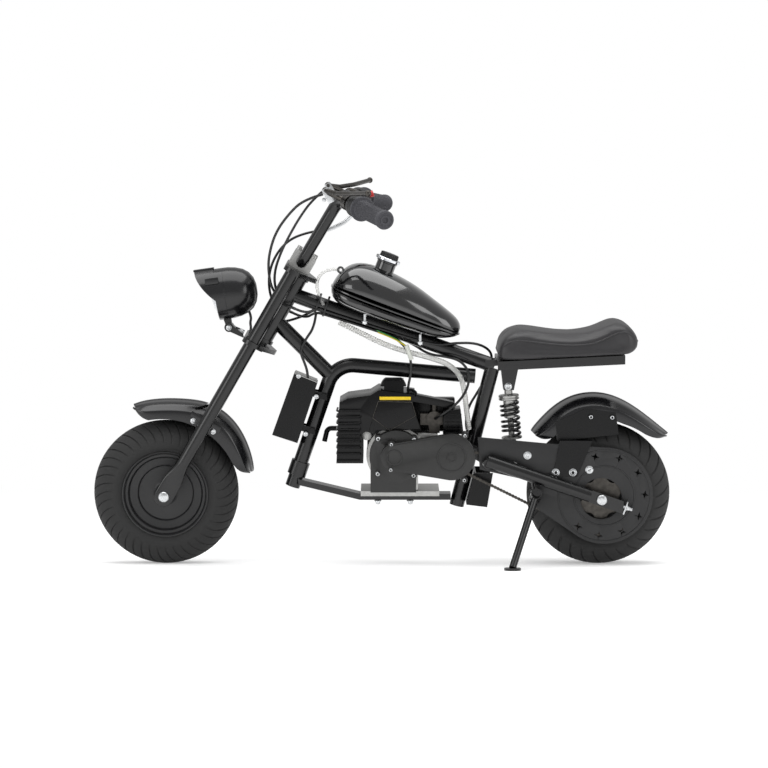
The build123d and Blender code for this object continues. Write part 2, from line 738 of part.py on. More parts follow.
def chain_loop(shift):
    return make_hull(
        (Pos(DRIVE_X, DRIVE_Z) * Circle(pitch_radius(DRIVE_TEETH) + shift)).edges()
        + (Pos(REAR_AXLE_X, REAR_TYRE_R) * Circle(pitch_radius(REAR_TEETH) + shift)).edges()
    )


def drive_chain():
    # the outer edge swells at each pin and draws in at each link's waist
    pins = chain_loop(CHAIN_H / 2).wire()
    waists = chain_loop(CHAIN_WAIST / 2).wire()
    links = round(pins.length / CHAIN_PITCH)
    outline = []
    for link in range(links):
        outline.append(tuple(pins @ (link / links))[:2])
        outline.append(tuple(waists @ ((link + 0.5) / links))[:2])
    low, high = CHAIN_Y - CHAIN_W / 2, CHAIN_Y + CHAIN_W / 2
    return plate(outline, low, high) - slab(chain_loop(-CHAIN_H / 2), low - 1, high + 1)


GUARD_X = -424.0
GUARD_Z = 145.0


def star(x, z, turn):
    points = []
    for index in range(8):
        radius = STAR_SPAN / 2 if index % 2 == 0 else STAR_SPAN / 6
        angle = math.radians(turn + index * 45)
        points.append((x + radius * math.cos(angle), z + radius * math.sin(angle)))
    return make_face(Polyline(*points, close=True))


STAR_ANGLES = (103.5, 68.7, 35.0, 1.6, -31.0, -63.5, -97.4, -130.0)


def chain_guard():
    disc = Pos(GUARD_X, GUARD_Z) * Circle(GUARD_R)
    lower = make_hull(disc.edges() + (Pos(-292, 128) * Circle(5)).edges())
    beam = make_face(Polyline(
        (-180, 259), (-309, 247), (GUARD_X, GUARD_Z + GUARD_R), (GUARD_X, GUARD_Z), (-300, 150), (-290, 172),
        (-184, 196), close=True))
    face = lower + beam
    face -= Pos(REAR_AXLE_X, REAR_TYRE_R) * Circle(GUARD_EYE_R)
    for angle in STAR_ANGLES:
        # the photograph looks from the left, where forward is on the left of the picture
        a = math.radians(180 - angle)
        face -= star(GUARD_X + STAR_R * math.cos(a), GUARD_Z + STAR_R * math.sin(a), 12)
    face -= star(-363, 226, 12)
    guard = slab(face, GUARD_LOW, GUARD_LOW + GUARD_T)
    for x, z, radius in (
        (ARM_FRONT_X, CROSS_FRONT_Z, CROSS_R),
        (CROSS_REAR_X, arm_z(CROSS_REAR_X), ARM_R),
    ):
        guard -= across(x, z, radius + 0.4, 60, 90)
    return guard


def fender_bracket():
    body = None
    foot_z = arm_z(-324) + 10.6
    shelf_z = REAR_FENDER_Z + 62
    fender_x, fender_z = REAR_FENDER_X, REAR_FENDER_Z
    for side in (-1, 1):
        lower_y = side * (GUARD_LOW + GUARD_T + 0.3)
        upper_y = side * (REAR_FENDER_HALF + 0.3)

        def span(a, b):
            return (min(a, b), max(a, b))

        front_x, rear_x = fender_x + 72, fender_x + 10
        foot = [(-324, foot_z), (-372, foot_z), (rear_x, shelf_z), (front_x, shelf_z)]
        leg = plate(foot, *span(lower_y, lower_y + side * 2.5))
        shelf = plate([(front_x, shelf_z), (rear_x, shelf_z), (rear_x, shelf_z - 3), (front_x, shelf_z - 3)],
                      *span(upper_y, lower_y + side * 2.5))
        # ahead of the fender's centre and over it
        cheek = [(76, 59), (-42, 72), (-36, 114), (22, 122), (80, 96)]
        upper = plate([(fender_x + x, fender_z + z) for x, z in cheek], *span(upper_y, upper_y + side * 2.5))
        piece = leg + shelf + upper
        for x, z in ((12, 106), (-29, 105)):
            piece += across(fender_x + x, fender_z + z, 5.5, *span(upper_y, upper_y + side * 6))
        for x in (-330, -363):
            piece += across(x, foot_z + 8.6, 5.5, *span(lower_y, lower_y + side * 6))
        body = piece if body is None else body + piece
    return body


CASE_X = -23.0
CASE_Z = 219.0
REDUCTION_Y = CHAIN_Y + 6.0
REDUCTION_T = 25.0
PLATE_TOP = 149.0


def engine_plate():
    return Pos(-31, 0, PLATE_TOP - 4.85) * Box(152, 96, 9.7)


def engine_crankcase():
    body = across(CASE_X, CASE_Z, 57, 8, 45)
    body += across(CASE_X, CASE_Z, 44, -52, 10)
    body += across(33, 257, 9, 26, 45)
    body += plate([(26, PLATE_TOP + 0.3), (-66, PLATE_TOP + 0.3), (-66, 200), (26, 200)], -36, 44)
    body += plate([(-66, 262), (-104, 260), (-104, 246), (-66, 236)], 8, 40)
    return body


def engine_cover():
    body = across(CASE_X, CASE_Z, 51, 45.3, REDUCTION_Y - 0.3)
    body += plate([(26, PLATE_TOP + 0.3), (-62, PLATE_TOP + 0.3), (-62, CASE_Z), (26, CASE_Z)], 45.3, 66)
    for x, z in ((11, 255), (12, 187), (-58, 253), (-57, 184)):
        body += across(x, z, 7, 45.3, REDUCTION_Y - 0.3)
        body += across(x, z, 5, REDUCTION_Y - 1, REDUCTION_Y + 4)
    return body


def reduction_case():
    small, large = (-20.0, 222.0), (-129.6, 222.0)
    outline = make_hull((Pos(*small) * Circle(26)).edges() + (Pos(*large) * Circle(44.5)).edges())
    body = slab(outline, REDUCTION_Y + 4.5, REDUCTION_Y + REDUCTION_T - 2)
    inner = make_hull((Pos(*small) * Circle(23)).edges() + (Pos(*large) * Circle(41.5)).edges())
    body += slab(inner, REDUCTION_Y, REDUCTION_Y + REDUCTION_T)
    body -= across(-58, 253, 5.8, REDUCTION_Y - 1, REDUCTION_Y + 5)
    for x, z in ((-14, 247), (-13, 198), (-155, 264), (-154, 178)):
        body += across(x, z, 6.5, REDUCTION_Y, REDUCTION_Y + REDUCTION_T - 2)
        body += across(x, z, 5, REDUCTION_Y, REDUCTION_Y + REDUCTION_T + 1)
    return body


SHROUD_LEFT = 58.0
SHROUD_RIGHT = -56.0
LOUVRES = 8


def engine_shroud():
    outline = [
        (10, 347), (26, 337), (70, 331), (86, 322), (92, 205), (40, 205), (40, 262),
        (-73, 266), (-54, 320), (-60, 338),
    ]
    body = plate(outline, SHROUD_RIGHT, SHROUD_LEFT)
    body += Pos(-19, 15, 351) * Box(38, 50, 24)
    body += plate([(-56, 338), (-134, 322), (-134, 310), (-52, 324)], 14, 44)
    body -= across(CASE_X, CASE_Z, 57.4, -70, 70)
    body -= across(33, 257, 9.4, 20, 70)
    body -= plate([(-66, 298.4), (-120, 298.4), (-120, 240), (-66, 240)], 3, 31)
    pitch = 112.0 / LOUVRES
    for index in range(LOUVRES):
        z = 214 + pitch * index
        body -= Pos(68, SHROUD_LEFT, z) * Box(44, 7, 4.5)
        body -= Pos(92, 0, z) * Box(10, 100, 4.5)
    return body


def recoil_starter():
    body = across(CASE_X, CASE_Z + 8, 56, SHROUD_RIGHT - 24, SHROUD_RIGHT - 0.3)
    body += across(CASE_X, CASE_Z + 8, 24, SHROUD_RIGHT - 30, SHROUD_RIGHT - 20)
    body += Pos(CASE_X + 46, SHROUD_RIGHT - 16, CASE_Z + 56) * Box(14, 30, 14)
    return body


def air_filter():
    body = plate([(-114, 305), (-148, 309), (-154, 260), (-114, 258)], -16, 44)
    return body


def carburettor():
    body = across(-97, 288, 15, -2, 34)
    body += plate([(-86, 278), (-108, 278), (-108, 260.4), (-88, 261.2)], 2, 32)
    body += plate([(-70.5, 298), (-113.7, 298), (-113.7, 276), (-70.5, 276)], 4, 30)
    body += rod((-97, 22, 300), (-97, 22, 314.6), 7)
    return body


def muffler():
    body = Pos(66, -84, 252) * Box(50, 52, 84)
    body = fillet(body.edges().filter_by(Axis.Y), 10)
    body += bent_rod([(88, -84, 254), (112, -84, 254), (118, -84, 228)], [10], 5)
    body += rod((62, -84, 250), (62, SHROUD_RIGHT - 0.3, 250), 12)
    return body


def control_box():
    body = plate([(174, 375), (129, 357), (168, 240), (217, 256)], -27, 27)
    for z in (331, 264):
        x = CRADLE_FOOT[0] + (CRADLE_CORNER[0] - CRADLE_FOOT[0]) * (z - CRADLE_FOOT[1]) / (
            CRADLE_CORNER[1] - CRADLE_FOOT[1])
        for side in (-1, 1):
            low, high = TUBE_R + 0.3, TUBE_R + 2.8
            body += plate([(x - 6, z - 9), (x + 40, z + 4), (x + 40, z + 14), (x - 6, z + 5)],
                          min(side * low, side * high), max(side * low, side * high))
            body += across(x, z, 5, min(side * low, side * (high + 4)), max(side * low, side * (high + 4)))
    return body


def splash_plate():
    edge = [(-175.5, 184), (-211, 184), (-200, 117), (-159.8, 122)]
    body = plate(edge, 42, 45) + plate(edge, -45, -42)
    body += plate([(-175.5, 184), (-178.5, 184), (-162.8, 122), (-159.8, 122)], -45, 45)
    return body


def tank_place():
    tilt = math.radians(TANK_TILT)
    return Plane(
        origin=(TANK_CENTRE[0], 0, TANK_CENTRE[1]),
        x_dir=(math.cos(tilt), 0, math.sin(tilt)),
        z_dir=(-math.sin(tilt), 0, math.cos(tilt)),
    ).location


# height over the seam, front circle's centre and radius, rear circle's centre and radius
TANK_LEVELS = (
    (0.0, 59.0, 73.0, -102.0, 29.0),
    (20.0, 57.0, 71.0, -93.0, 28.0),
    (40.0, 54.0, 64.0, -63.0, 25.0),
    (56.0, 51.0, 51.0, -22.0, 20.0),
    (65.0, 50.0, 30.0, 20.0, 14.0),
)
PAN_LEVELS = (
    (0.0, 59.0, 73.0, -102.0, 29.0),
    (-16.0, 58.0, 69.0, -100.0, 26.0),
    (-27.0, 56.0, 56.0, -84.0, 22.0),
)
SEAM_PROUD = 3.0
SEAM_T = 3.0


def tank_outline(level, proud=0.0):
    height, front, front_r, rear, rear_r = level
    return make_hull(
        (Pos(front, 0) * Circle(front_r + proud)).edges() + (Pos(rear, 0) * Circle(rear_r + proud)).edges())


def tank_loft(levels):
    return loft([Pos(0, 0, level[0]) * tank_outline(level) for level in levels])


NECK_X = 48.0
NECK_R = 19.0
NECK_TOP = 82.0


def fuel_tank():
    body = tank_loft(TANK_LEVELS) + tank_loft(PAN_LEVELS)
    body += Pos(0, 0, -SEAM_T / 2) * extrude(tank_outline(TANK_LEVELS[0], SEAM_PROUD), amount=SEAM_T)
    body += Pos(NECK_X, 0, 50) * Cylinder(NECK_R, NECK_TOP - 50, align=(Align.CENTER, Align.CENTER, Align.MIN))
    body = tank_place() * body
    way = Vector(BACKBONE_REAR[0] - BACKBONE_FRONT[0], 0, BACKBONE_REAR[1] - BACKBONE_FRONT[1])
    start = Vector(*in_plane(BACKBONE_FRONT))
    return body - rod(tuple(start), tuple(start + way), TUBE_R + 0.4)


def fuel_cap():
    body = Pos(NECK_X, 0, NECK_TOP + 0.3) * Cylinder(24, 8, align=(Align.CENTER, Align.CENTER, Align.MIN))
    body += Pos(NECK_X, 0, NECK_TOP + 8) * Cylinder(19, 8, align=(Align.CENTER, Align.CENTER, Align.MIN))
    return tank_place() * body


def seat_tray():
    outer = [
        (TRAY_FRONT[0], TRAY_FRONT[1]), (TRAY_REAR[0], TRAY_REAR[1]),
        (TRAY_REAR[0], TRAY_REAR[1] - TRAY_H), (TRAY_FRONT[0], TRAY_FRONT[1] - TRAY_H),
    ]
    body = plate(outer, -TRAY_W / 2, TRAY_W / 2)
    w = TRAY_WALL
    inner = [
        (TRAY_FRONT[0] + 5, TRAY_FRONT[1] - w), (TRAY_REAR[0] + w, TRAY_REAR[1] - w),
        (TRAY_REAR[0] + w, TRAY_REAR[1] - TRAY_H - 5), (TRAY_FRONT[0] + 5, TRAY_FRONT[1] - TRAY_H - 5),
    ]
    return body - plate(inner, -TRAY_W / 2 + w, TRAY_W / 2 - w)


def seat():
    lift = 0.3
    edges = [
        Line((-218, 404.3 + lift), (-458, 416.1 + lift)),
        ThreePointArc((-458, 416.1 + lift), (-481, 425), (-492, 440)),
        Line((-492, 440), (-474, 471)),
        ThreePointArc((-474, 471), (-465, 479.5), (-453, 481)),
        ThreePointArc((-453, 481), (-425, 472), (-400, 462)),
        ThreePointArc((-400, 462), (-355, 457.5), (-305, 462)),
        Line((-305, 462), (-257, 467)),
        ThreePointArc((-257, 467), (-230, 458), (-218, 432)),
        Line((-218, 432), (-218, 404.3 + lift)),
    ]
    body = slab(make_face(edges), -SEAT_W / 2, SEAT_W / 2)
    return body


def brake_disc():
    y = -(REAR_HUB_HALF + 4)
    body = across(REAR_AXLE_X, REAR_TYRE_R, 55, y - 3, y)
    for index in range(8):
        angle = math.radians(index * 45)
        body -= across(REAR_AXLE_X + 38 * math.cos(angle), REAR_TYRE_R + 38 * math.sin(angle), 9, y - 5, y + 2)
    body += across(REAR_AXLE_X, REAR_TYRE_R, 22, y, -REAR_HUB_HALF)
    return body - across(REAR_AXLE_X, REAR_TYRE_R, AXLE_R + BORE_PLAY, -90, -40)


def brake_caliper():
    inner = REAR_HUB_HALF + 0.6
    outer = ARM_HALF_SPAN - ARM_R - 0.3
    disc_y = REAR_HUB_HALF + 4
    # ahead of the axle and over it
    outline = [(30, 10.5), (56, 8.5), (64, 26.5), (52, 46.5), (34, 42.5), (22, 26.5)]
    body = plate([(REAR_AXLE_X + x, REAR_TYRE_R + z) for x, z in outline], -outer, -inner)
    body -= across(REAR_AXLE_X, REAR_TYRE_R, 57, -disc_y - 4, -disc_y + 1)
    return body


# Side stand
def ground_normal():
    return Vector(0, -math.sin(math.radians(LEAN)), math.cos(math.radians(LEAN)))


STAND_PIVOT = (-291.0, ARM_HALF_SPAN + 5.0, 147.0)
STAND_FOLDED_WAY = (-0.915, 0.14, -0.36)
STAND_R = 7.0
STAND_FOOT_T = 5.0


def stand_ways():
    lean = math.radians(LEAN)
    foot = Vector(STAND_PIVOT[0] + STAND_LEAD, STAND_REACH * math.cos(lean), STAND_REACH * math.sin(lean))
    end = foot + ground_normal() * STAND_FOOT_T
    down = (end - Vector(*STAND_PIVOT)).normalized()
    folded = Vector(*STAND_FOLDED_WAY).normalized()
    turn = down.cross(folded).normalized()
    angle = math.degrees(math.acos(down.dot(folded)))
    return foot, end, down, turn, angle


def side_stand():
    # hub round the pin, leg and foot pad
    foot, end, down, turn, angle = stand_ways()
    pivot = Vector(*STAND_PIVOT)
    hub = rod(tuple(pivot - turn * 2.5), tuple(pivot + turn * 12.5), 11)
    leg = rod(tuple(pivot + turn * 5), tuple(end), STAND_R)
    pad = rod(tuple(foot), tuple(foot + ground_normal() * STAND_FOOT_T), 16)
    body = hub + leg + pad
    return body - rod(tuple(pivot - turn * 10), tuple(pivot + turn * 20), 4.3)


def stand_bracket():
    foot, end, down, turn, angle = stand_ways()
    pivot = Vector(*STAND_PIVOT)
    body = rod(tuple(pivot - turn * 8), tuple(pivot - turn * 3), 12)
    body += rod(tuple(pivot - turn * 8), tuple(pivot + turn * 14), 4)
    body += rod(tuple(pivot + turn * 13), tuple(pivot + turn * 17), 8)
    rise = (Vector(0, 0, 1) - turn * turn.Z).normalized()
    ear = pivot + rise * 13
    body += rod(tuple(ear - turn * 8), tuple(ear - turn * 3), 7)
    top_x = STAND_PIVOT[0] + 6
    body += rod(tuple(ear - turn * 6.5), (top_x, ARM_HALF_SPAN, arm_z(top_x) - 6), 4)
    body -= rod(tuple(pivot - turn * 3), tuple(pivot + turn * 13), 11.6) - rod(
        tuple(pivot - turn * 3), tuple(pivot + turn * 13), 4)
    tube = rod((ARM_FRONT_X, ARM_HALF_SPAN, arm_z(ARM_FRONT_X)), (REAR_AXLE_X, ARM_HALF_SPAN, arm_z(REAR_AXLE_X)),
               ARM_R + 0.2)
    return body - tube


# Cables and hoses
def routed(points, radius):
    # straight runs joined by arcs as large as each corner's two runs allow
    places = [Vector(*point) for point in points]
    bends = []
    for before, corner, after in zip(places, places[1:], places[2:]):
        inward, outward = corner - before, after - corner
        turn = math.radians(inward.get_angle(outward))
        bends.append(0.45 * min(inward.length, outward.length) / math.tan(turn / 2))
    path = FilletPolyline(*places, radius=bends)
    return sweep(Plane(origin=path @ 0, z_dir=path % 0) * RegularPolygon(radius, CABLE_SIDES), path=path)


BACKBONE_TILT = math.atan2(BACKBONE_FRONT[1] - BACKBONE_REAR[1], BACKBONE_FRONT[0] - BACKBONE_REAR[0])


def beside_backbone(x, turn, radius=CABLE_R):
    # a point beside the backbone over station x; turn is degrees round the tube, from below towards the left
    axis_z = BACKBONE_FRONT[1] + (x - BACKBONE_FRONT[0]) * math.tan(BACKBONE_TILT)
    reach = TUBE_R + radius + CABLE_PLAY
    drop = reach * math.cos(math.radians(turn))
    return (
        x + drop * math.sin(BACKBONE_TILT),
        reach * math.sin(math.radians(turn)),
        axis_z - drop * math.cos(BACKBONE_TILT),
    )


BRAKE_CABLE_TOP = [
    (115.2, 112.0, 726.0), (152.0, 105.0, 716.0), (184.0, 92.0, 684.0), (207.0, 76.0, 650.0), (219.0, 62.0, 612.0),
    (222.0, 50.0, 582.0), (218.0, 43.0, 550.0), (209.0, 39.0, 532.0), steer_point(10, 38, 0),
]
STOP_WIRE_TOP = [
    (115.0, -112.0, 726.4), (140.0, -107.0, 706.0), (164.0, -96.0, 674.0), (185.0, -78.0, 638.0),
    (202.0, -60.0, 604.0), (213.0, -46.0, 572.0), (214.0, -38.0, 544.0), (206.0, -35.0, 520.0),
    steer_point(10, -34, -16),
]
THROTTLE_CABLE_TOP = [
    (56.4, -168.6, 683.4), (66.0, -160.0, 668.0), (86.0, -142.0, 653.0), (112.0, -116.0, 645.0),
    (150.0, -90.0, 642.0), (187.0, -82.0, 628.0), (212.0, -70.0, 600.0), (225.0, -57.0, 566.0),
    (225.0, -48.0, 533.0), (217.0, -43.5, 507.0), steer_point(10, -42, -36),
]
LAMP_WIRE = [
    (261.4, 0.0, 494.2), (257.0, 1.0, 483.0), (259.5, 4.0, 472.0), (257.0, 8.0, 461.0), steer_point(27, 11, -91.1),
]
ELBOW_R = 4.0


def fork_cables():
    body = routed(BRAKE_CABLE_TOP, CABLE_R)
    for route in (STOP_WIRE_TOP, THROTTLE_CABLE_TOP, LAMP_WIRE):
        body += routed(route, CABLE_R)
    return body + routed(THROTTLE_CABLE_TOP[:4], ELBOW_R)


BRAKE_CABLE = [
    steer_point(-24, 38, 0), (151.0, 27.0, 492.0), beside_backbone(127, 62), beside_backbone(103, 62.5),
    beside_backbone(50, 70), beside_backbone(-5, 76), beside_backbone(-60, 84), beside_backbone(-105, 100),
    (-138.0, 15.0, 434.0), (-174.0, 11.0, 434.0), (-199.0, 0.0, 424.0), (-211.5, -20.0, 407.0),
    (-207.0, -24.0, 380.0), (-196.0, -25.0, 355.0), (-182.0, -25.0, 332.0), (-166.0, -25.0, 306.0),
    (-160.0, -25.0, 280.0), (-162.0, -30.0, 254.0), (-177.0, -46.0, 237.0), (-205.0, -64.0, 226.0),
    (-247.0, -71.0, 219.0), (-295.0, -71.0, 220.0), (-335.0, -71.0, 219.0), (-360.0, -71.0, 208.0),
    (-369.5, -71.0, 196.0), (-371.0, -71.0, 186.4),
]
STOP_WIRE = [
    steer_point(-24, -34, -16), (154.0, -14.0, 478.0), beside_backbone(127, 10), beside_backbone(107, 27),
    beside_backbone(82, 36), beside_backbone(50, 43), beside_backbone(10, 49), beside_backbone(-22, 56),
    (-45.0, 26.0, 424.0), (-53.0, 27.0, 398.0), (-51.0, 27.0, 370.0), (-47.0, 26.0, 353.0), (-46.0, 26.0, 341.0),
]
THROTTLE_CABLE = [
    steer_point(-24, -42, -36), (160.0, -30.0, 480.0), beside_backbone(127, -52), beside_backbone(103, -53),
    beside_backbone(50, -60), beside_backbone(-10, -56), beside_backbone(-60, -40), beside_backbone(-93, -10, 8.0),
    (-122.0, 21.0, 408.0), (-148.0, 27.0, 401.0), (-165.0, 33.0, 380.0), (-163.0, 37.0, 352.0),
    (-148.0, 46.0, 327.0), (-125.0, 54.0, 308.0), (-107.0, 51.0, 295.0), (-99.0, 36.0, 289.0),
]
BOX_WIRE = [
    beside_backbone(126, 22), (134.0, 15.0, 466.0), (152.0, 18.5, 441.0), (163.0, 19.5, 418.0),
    (153.0, 20.0, 394.0), (148.0, 20.0, 378.0), (147.5, 20.0, 366.6),
]
TIE_STATIONS = (128.0, 112.0)


def frame_cables():
    body = routed(BRAKE_CABLE, CABLE_R)
    ways = (Vector(*in_plane(BACKBONE_REAR)) - Vector(*in_plane(BACKBONE_FRONT))).normalized()
    for x in TIE_STATIONS:
        z = BACKBONE_FRONT[1] + (x - BACKBONE_FRONT[0]) * math.tan(BACKBONE_TILT)
        middle = Vector(x, 0, z)
        start, end = tuple(middle - ways * TIE_W / 2), tuple(middle + ways * TIE_W / 2)
        tie = rod(start, end, TUBE_R + 2 * CABLE_R + CABLE_PLAY + 1)
        body += tie - rod(start, end, TUBE_R + CABLE_PLAY)
    for route in (STOP_WIRE, THROTTLE_CABLE, BOX_WIRE):
        body += routed(route, CABLE_R)
    return body


HOSE_ROUTE = [
    beside_backbone(80, 0, HOSE_R), (39.0, 6.0, 450.0), (4.0, 12.0, 433.0), (-36.0, 15.0, 419.0),
    (-81.0, 16.0, 408.0), (-126.0, 20.0, 394.0), (-149.0, 23.0, 370.0), (-156.0, 24.0, 340.0),
    (-160.0, 24.0, 304.0), (-165.0, 24.0, 266.0),
]


def spiral_hose():
    return routed(HOSE_ROUTE, HOSE_R)


PIECES = {
    "main_frame": main_frame,
    "seat_tray": seat_tray,
    "seat": seat,
    "fuel_tank": fuel_tank,
    "fuel_cap": fuel_cap,
    "engine_plate": engine_plate,
    "engine_crankcase": engine_crankcase,
    "engine_cover": engine_cover,
    "engine_shroud": engine_shroud,
    "reduction_case": reduction_case,
    "recoil_starter": recoil_starter,
    "air_filter": air_filter,
    "carburettor": carburettor,
    "muffler": muffler,
    "drive_sprocket": drive_sprocket,
    "drive_chain": drive_chain,
    "chain_guard": chain_guard,
    "swingarm": swingarm,
    "rear_axle": rear_axle,
    "brake_caliper": brake_caliper,
    "rear_fender": rear_fender,
    "fender_bracket": fender_bracket,
    "shock_absorber": shock_absorber,
    "shock_spring": shock_spring,
    "shock_bolts": shock_bolts,
    "control_box": control_box,
    "splash_plate": splash_plate,
    "stand_bracket": stand_bracket,
    "side_stand": side_stand,
    "fork_legs": fork_legs,
    "upper_clamp": upper_clamp,
    "lower_clamp": lower_clamp,
    "handlebar": handlebar,
    "bar_clamps": bar_clamps,
    "grips": grips,
    "switch_housings": switch_housings,
    "brake_levers": brake_levers,
    "front_fender": front_fender,
    "front_axle": front_axle,
    "headlight": headlight,
    "headlight_lens": headlight_lens,
    "headlight_bracket": headlight_bracket,
    "front_tyre": front_tyre,
    "front_rim": front_rim,
    "rear_tyre": rear_tyre,
    "rear_rim": rear_rim,
    "rear_sprocket": rear_sprocket,
    "brake_disc": brake_disc,
    "fork_cables": fork_cables,
    "frame_cables": frame_cables,
    "spiral_hose": spiral_hose,
}


def built_pieces():
    return {name: make() for name, make in PIECES.items()}


def park_move(pieces):
    # lean onto the stand, then bring the bottom centre of the whole box to the origin
    leaned = Rot(-LEAN, 0, 0)
    boxes = [(leaned * piece).bounding_box() for piece in pieces.values()]
    low_x = min(box.min.X for box in boxes)
    high_x = max(box.max.X for box in boxes)
    low_y = min(box.min.Y for box in boxes)
    high_y = max(box.max.Y for box in boxes)
    return Pos(-(low_x + high_x) / 2, -(low_y + high_y) / 2, 0) * leaned


def write_parts():
    os.makedirs("parts", exist_ok=True)
    pieces = built_pieces()
    move = park_move(pieces)
    for name, piece in pieces.items():
        export_step(move * piece, f"parts/{name}.step")
    return pieces, move


if __name__ == "__main__":
    write_parts()
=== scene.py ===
"""Looks of a mini dirt bike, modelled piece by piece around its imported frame."""

import json
import math

import bpy
from mathutils import Matrix, Vector

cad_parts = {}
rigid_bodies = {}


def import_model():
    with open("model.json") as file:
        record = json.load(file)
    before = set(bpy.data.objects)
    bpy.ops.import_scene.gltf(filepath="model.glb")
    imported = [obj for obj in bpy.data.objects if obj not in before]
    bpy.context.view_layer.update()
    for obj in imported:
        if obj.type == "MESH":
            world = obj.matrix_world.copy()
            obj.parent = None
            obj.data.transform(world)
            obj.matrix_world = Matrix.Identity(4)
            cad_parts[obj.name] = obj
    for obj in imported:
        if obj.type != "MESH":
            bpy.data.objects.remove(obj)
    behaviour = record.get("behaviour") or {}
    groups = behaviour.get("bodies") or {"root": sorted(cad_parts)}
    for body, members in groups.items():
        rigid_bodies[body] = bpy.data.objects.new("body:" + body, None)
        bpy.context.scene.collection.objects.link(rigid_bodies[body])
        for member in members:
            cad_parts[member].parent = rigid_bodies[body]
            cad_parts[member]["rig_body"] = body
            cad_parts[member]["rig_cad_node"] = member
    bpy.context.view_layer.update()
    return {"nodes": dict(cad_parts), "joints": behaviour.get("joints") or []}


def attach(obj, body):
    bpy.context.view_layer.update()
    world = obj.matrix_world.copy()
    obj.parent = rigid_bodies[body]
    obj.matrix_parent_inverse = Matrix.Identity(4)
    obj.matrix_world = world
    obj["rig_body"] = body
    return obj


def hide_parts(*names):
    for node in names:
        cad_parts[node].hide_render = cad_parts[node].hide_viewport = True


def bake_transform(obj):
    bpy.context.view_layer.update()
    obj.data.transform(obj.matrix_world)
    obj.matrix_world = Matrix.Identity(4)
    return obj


bl_info = {
    "name": "Mini Dirt Bike",
    "version": (1, 0, 0),
    "blender": (4, 5, 0),
    "location": "3D View > Sidebar > Mini Bike",
    "description": "Builds the dressed pieces of a small petrol dirt bike on its frame",
    "category": "Object",
}

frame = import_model()

# Pieces are drawn in millimetres on the upright bike: X forward, Y to its left, Z up, ground at 0
MM = 0.001
FRONT_AXLE = Vector((425.02, 0.0, 141.0))
REAR_AXLE = Vector((-418.0, 0.0, 139.5))
STEERING_HEAD = Vector((192.0, 0.0, 514.6))
RAKE = math.radians(30.0)


def joint(name):
    return next(j for j in frame["joints"] if j["name"] == name)


def parked_place():
    """From the upright bike in millimetres to where it leans on its stand, in metres."""
    wheel = joint("front_wheel_spin")
    axis = Vector(wheel["axis"])
    lean = Matrix.Rotation(-math.atan2(-axis.z, axis.y), 4, "X")
    return Matrix.Translation(Vector(wheel["pos_m"]) - lean @ (FRONT_AXLE * MM)) @ lean @ Matrix.Scale(MM, 4)


PARKED = parked_place()


STEER_FRAME = Matrix.Translation(STEERING_HEAD) @ Matrix.Rotation(-RAKE, 4, "Y")


def steer_point(ahead, y, along):
    """Ahead of the steering axis, left of it and up along it."""
    return tuple(STEER_FRAME @ Vector((ahead, y, along)))


BACKBONE_FRONT = Vector((183.0, 0.0, 529.0))
BACKBONE_REAR = Vector((-214.0, 0.0, 388.0))
TUBE_R = 14.3
CABLE_R = 2.5
CABLE_GAP = 0.35
HOSE_R = 6.0
# points closer than this are one point
MERGE = 0.01
LEFT = (0, 1, 0)
DOWN = (0, 0, -1)


def beside_backbone(x, turn, radius=CABLE_R):
    """A point on the backbone's skin at station x, turn degrees round from below towards the left."""
    run = BACKBONE_FRONT - BACKBONE_REAR
    tilt = math.atan2(run.z, run.x)
    axis_z = BACKBONE_FRONT.z + (x - BACKBONE_FRONT.x) * math.tan(tilt)
    reach = TUBE_R + radius + CABLE_GAP
    drop = reach * math.cos(math.radians(turn))
    return (x + drop * math.sin(tilt), reach * math.sin(math.radians(turn)), axis_z - drop * math.cos(tilt))


def facing(way):
    """The turn that brings the Y axis to a direction."""
    return Vector(way).to_track_quat("Y", "Z").to_matrix().to_4x4()


# Hand tools

def clear():
    if bpy.context.object and bpy.context.object.mode != "OBJECT":
        bpy.ops.object.mode_set(mode="OBJECT")
    bpy.ops.object.select_all(action="DESELECT")


def take(piece):
    clear()
    piece.select_set(True)
    bpy.context.view_layer.objects.active = piece
    return piece


def settled(piece):
    take(piece)
    bpy.ops.object.transform_apply(location=True, rotation=True, scale=True)
    return piece


def bar(start, end, radius, end_radius=None, sides=32):
    """A straight round bar or cone from start to end."""
    start, end = Vector(start), Vector(end)
    run = end - start
    clear()
    bpy.ops.mesh.primitive_cone_add(
        vertices=sides,
        radius1=radius,
        radius2=radius if end_radius is None else end_radius,
        depth=run.length,
        location=(start + end) / 2,
        rotation=run.to_track_quat("Z", "Y").to_euler(),
    )
    return settled(bpy.context.object)


def crossbar(centre, half, radius, sides=32):
    """A round bar straight across the bike, as long to each side of its centre."""
    reach = Vector((0.0, half, 0.0))
    return bar(centre - reach, centre + reach, radius, sides=sides)


def block(centre, size, turn=(0.0, 0.0, 0.0)):
    clear()
    bpy.ops.mesh.primitive_cube_add(size=1.0, location=centre, rotation=turn)
    bpy.context.object.scale = size
    return settled(bpy.context.object)


def ball(centre, radius, sides=24):
    clear()
    bpy.ops.mesh.primitive_uv_sphere_add(
        segments=sides, ring_count=sides // 2, radius=radius, location=centre)
    return settled(bpy.context.object)


def tidy_mesh(piece, merge=MERGE):
    """Merges doubles, drops loose points and faces everything outwards."""
    take(piece)
    bpy.ops.object.mode_set(mode="EDIT")
    bpy.ops.mesh.select_all(action="SELECT")
    bpy.ops.mesh.remove_doubles(threshold=merge)
    bpy.ops.mesh.delete_loose()
    bpy.ops.mesh.select_all(action="SELECT")
    bpy.ops.mesh.normals_make_consistent(inside=False)
    bpy.ops.object.mode_set(mode="OBJECT")
    return piece


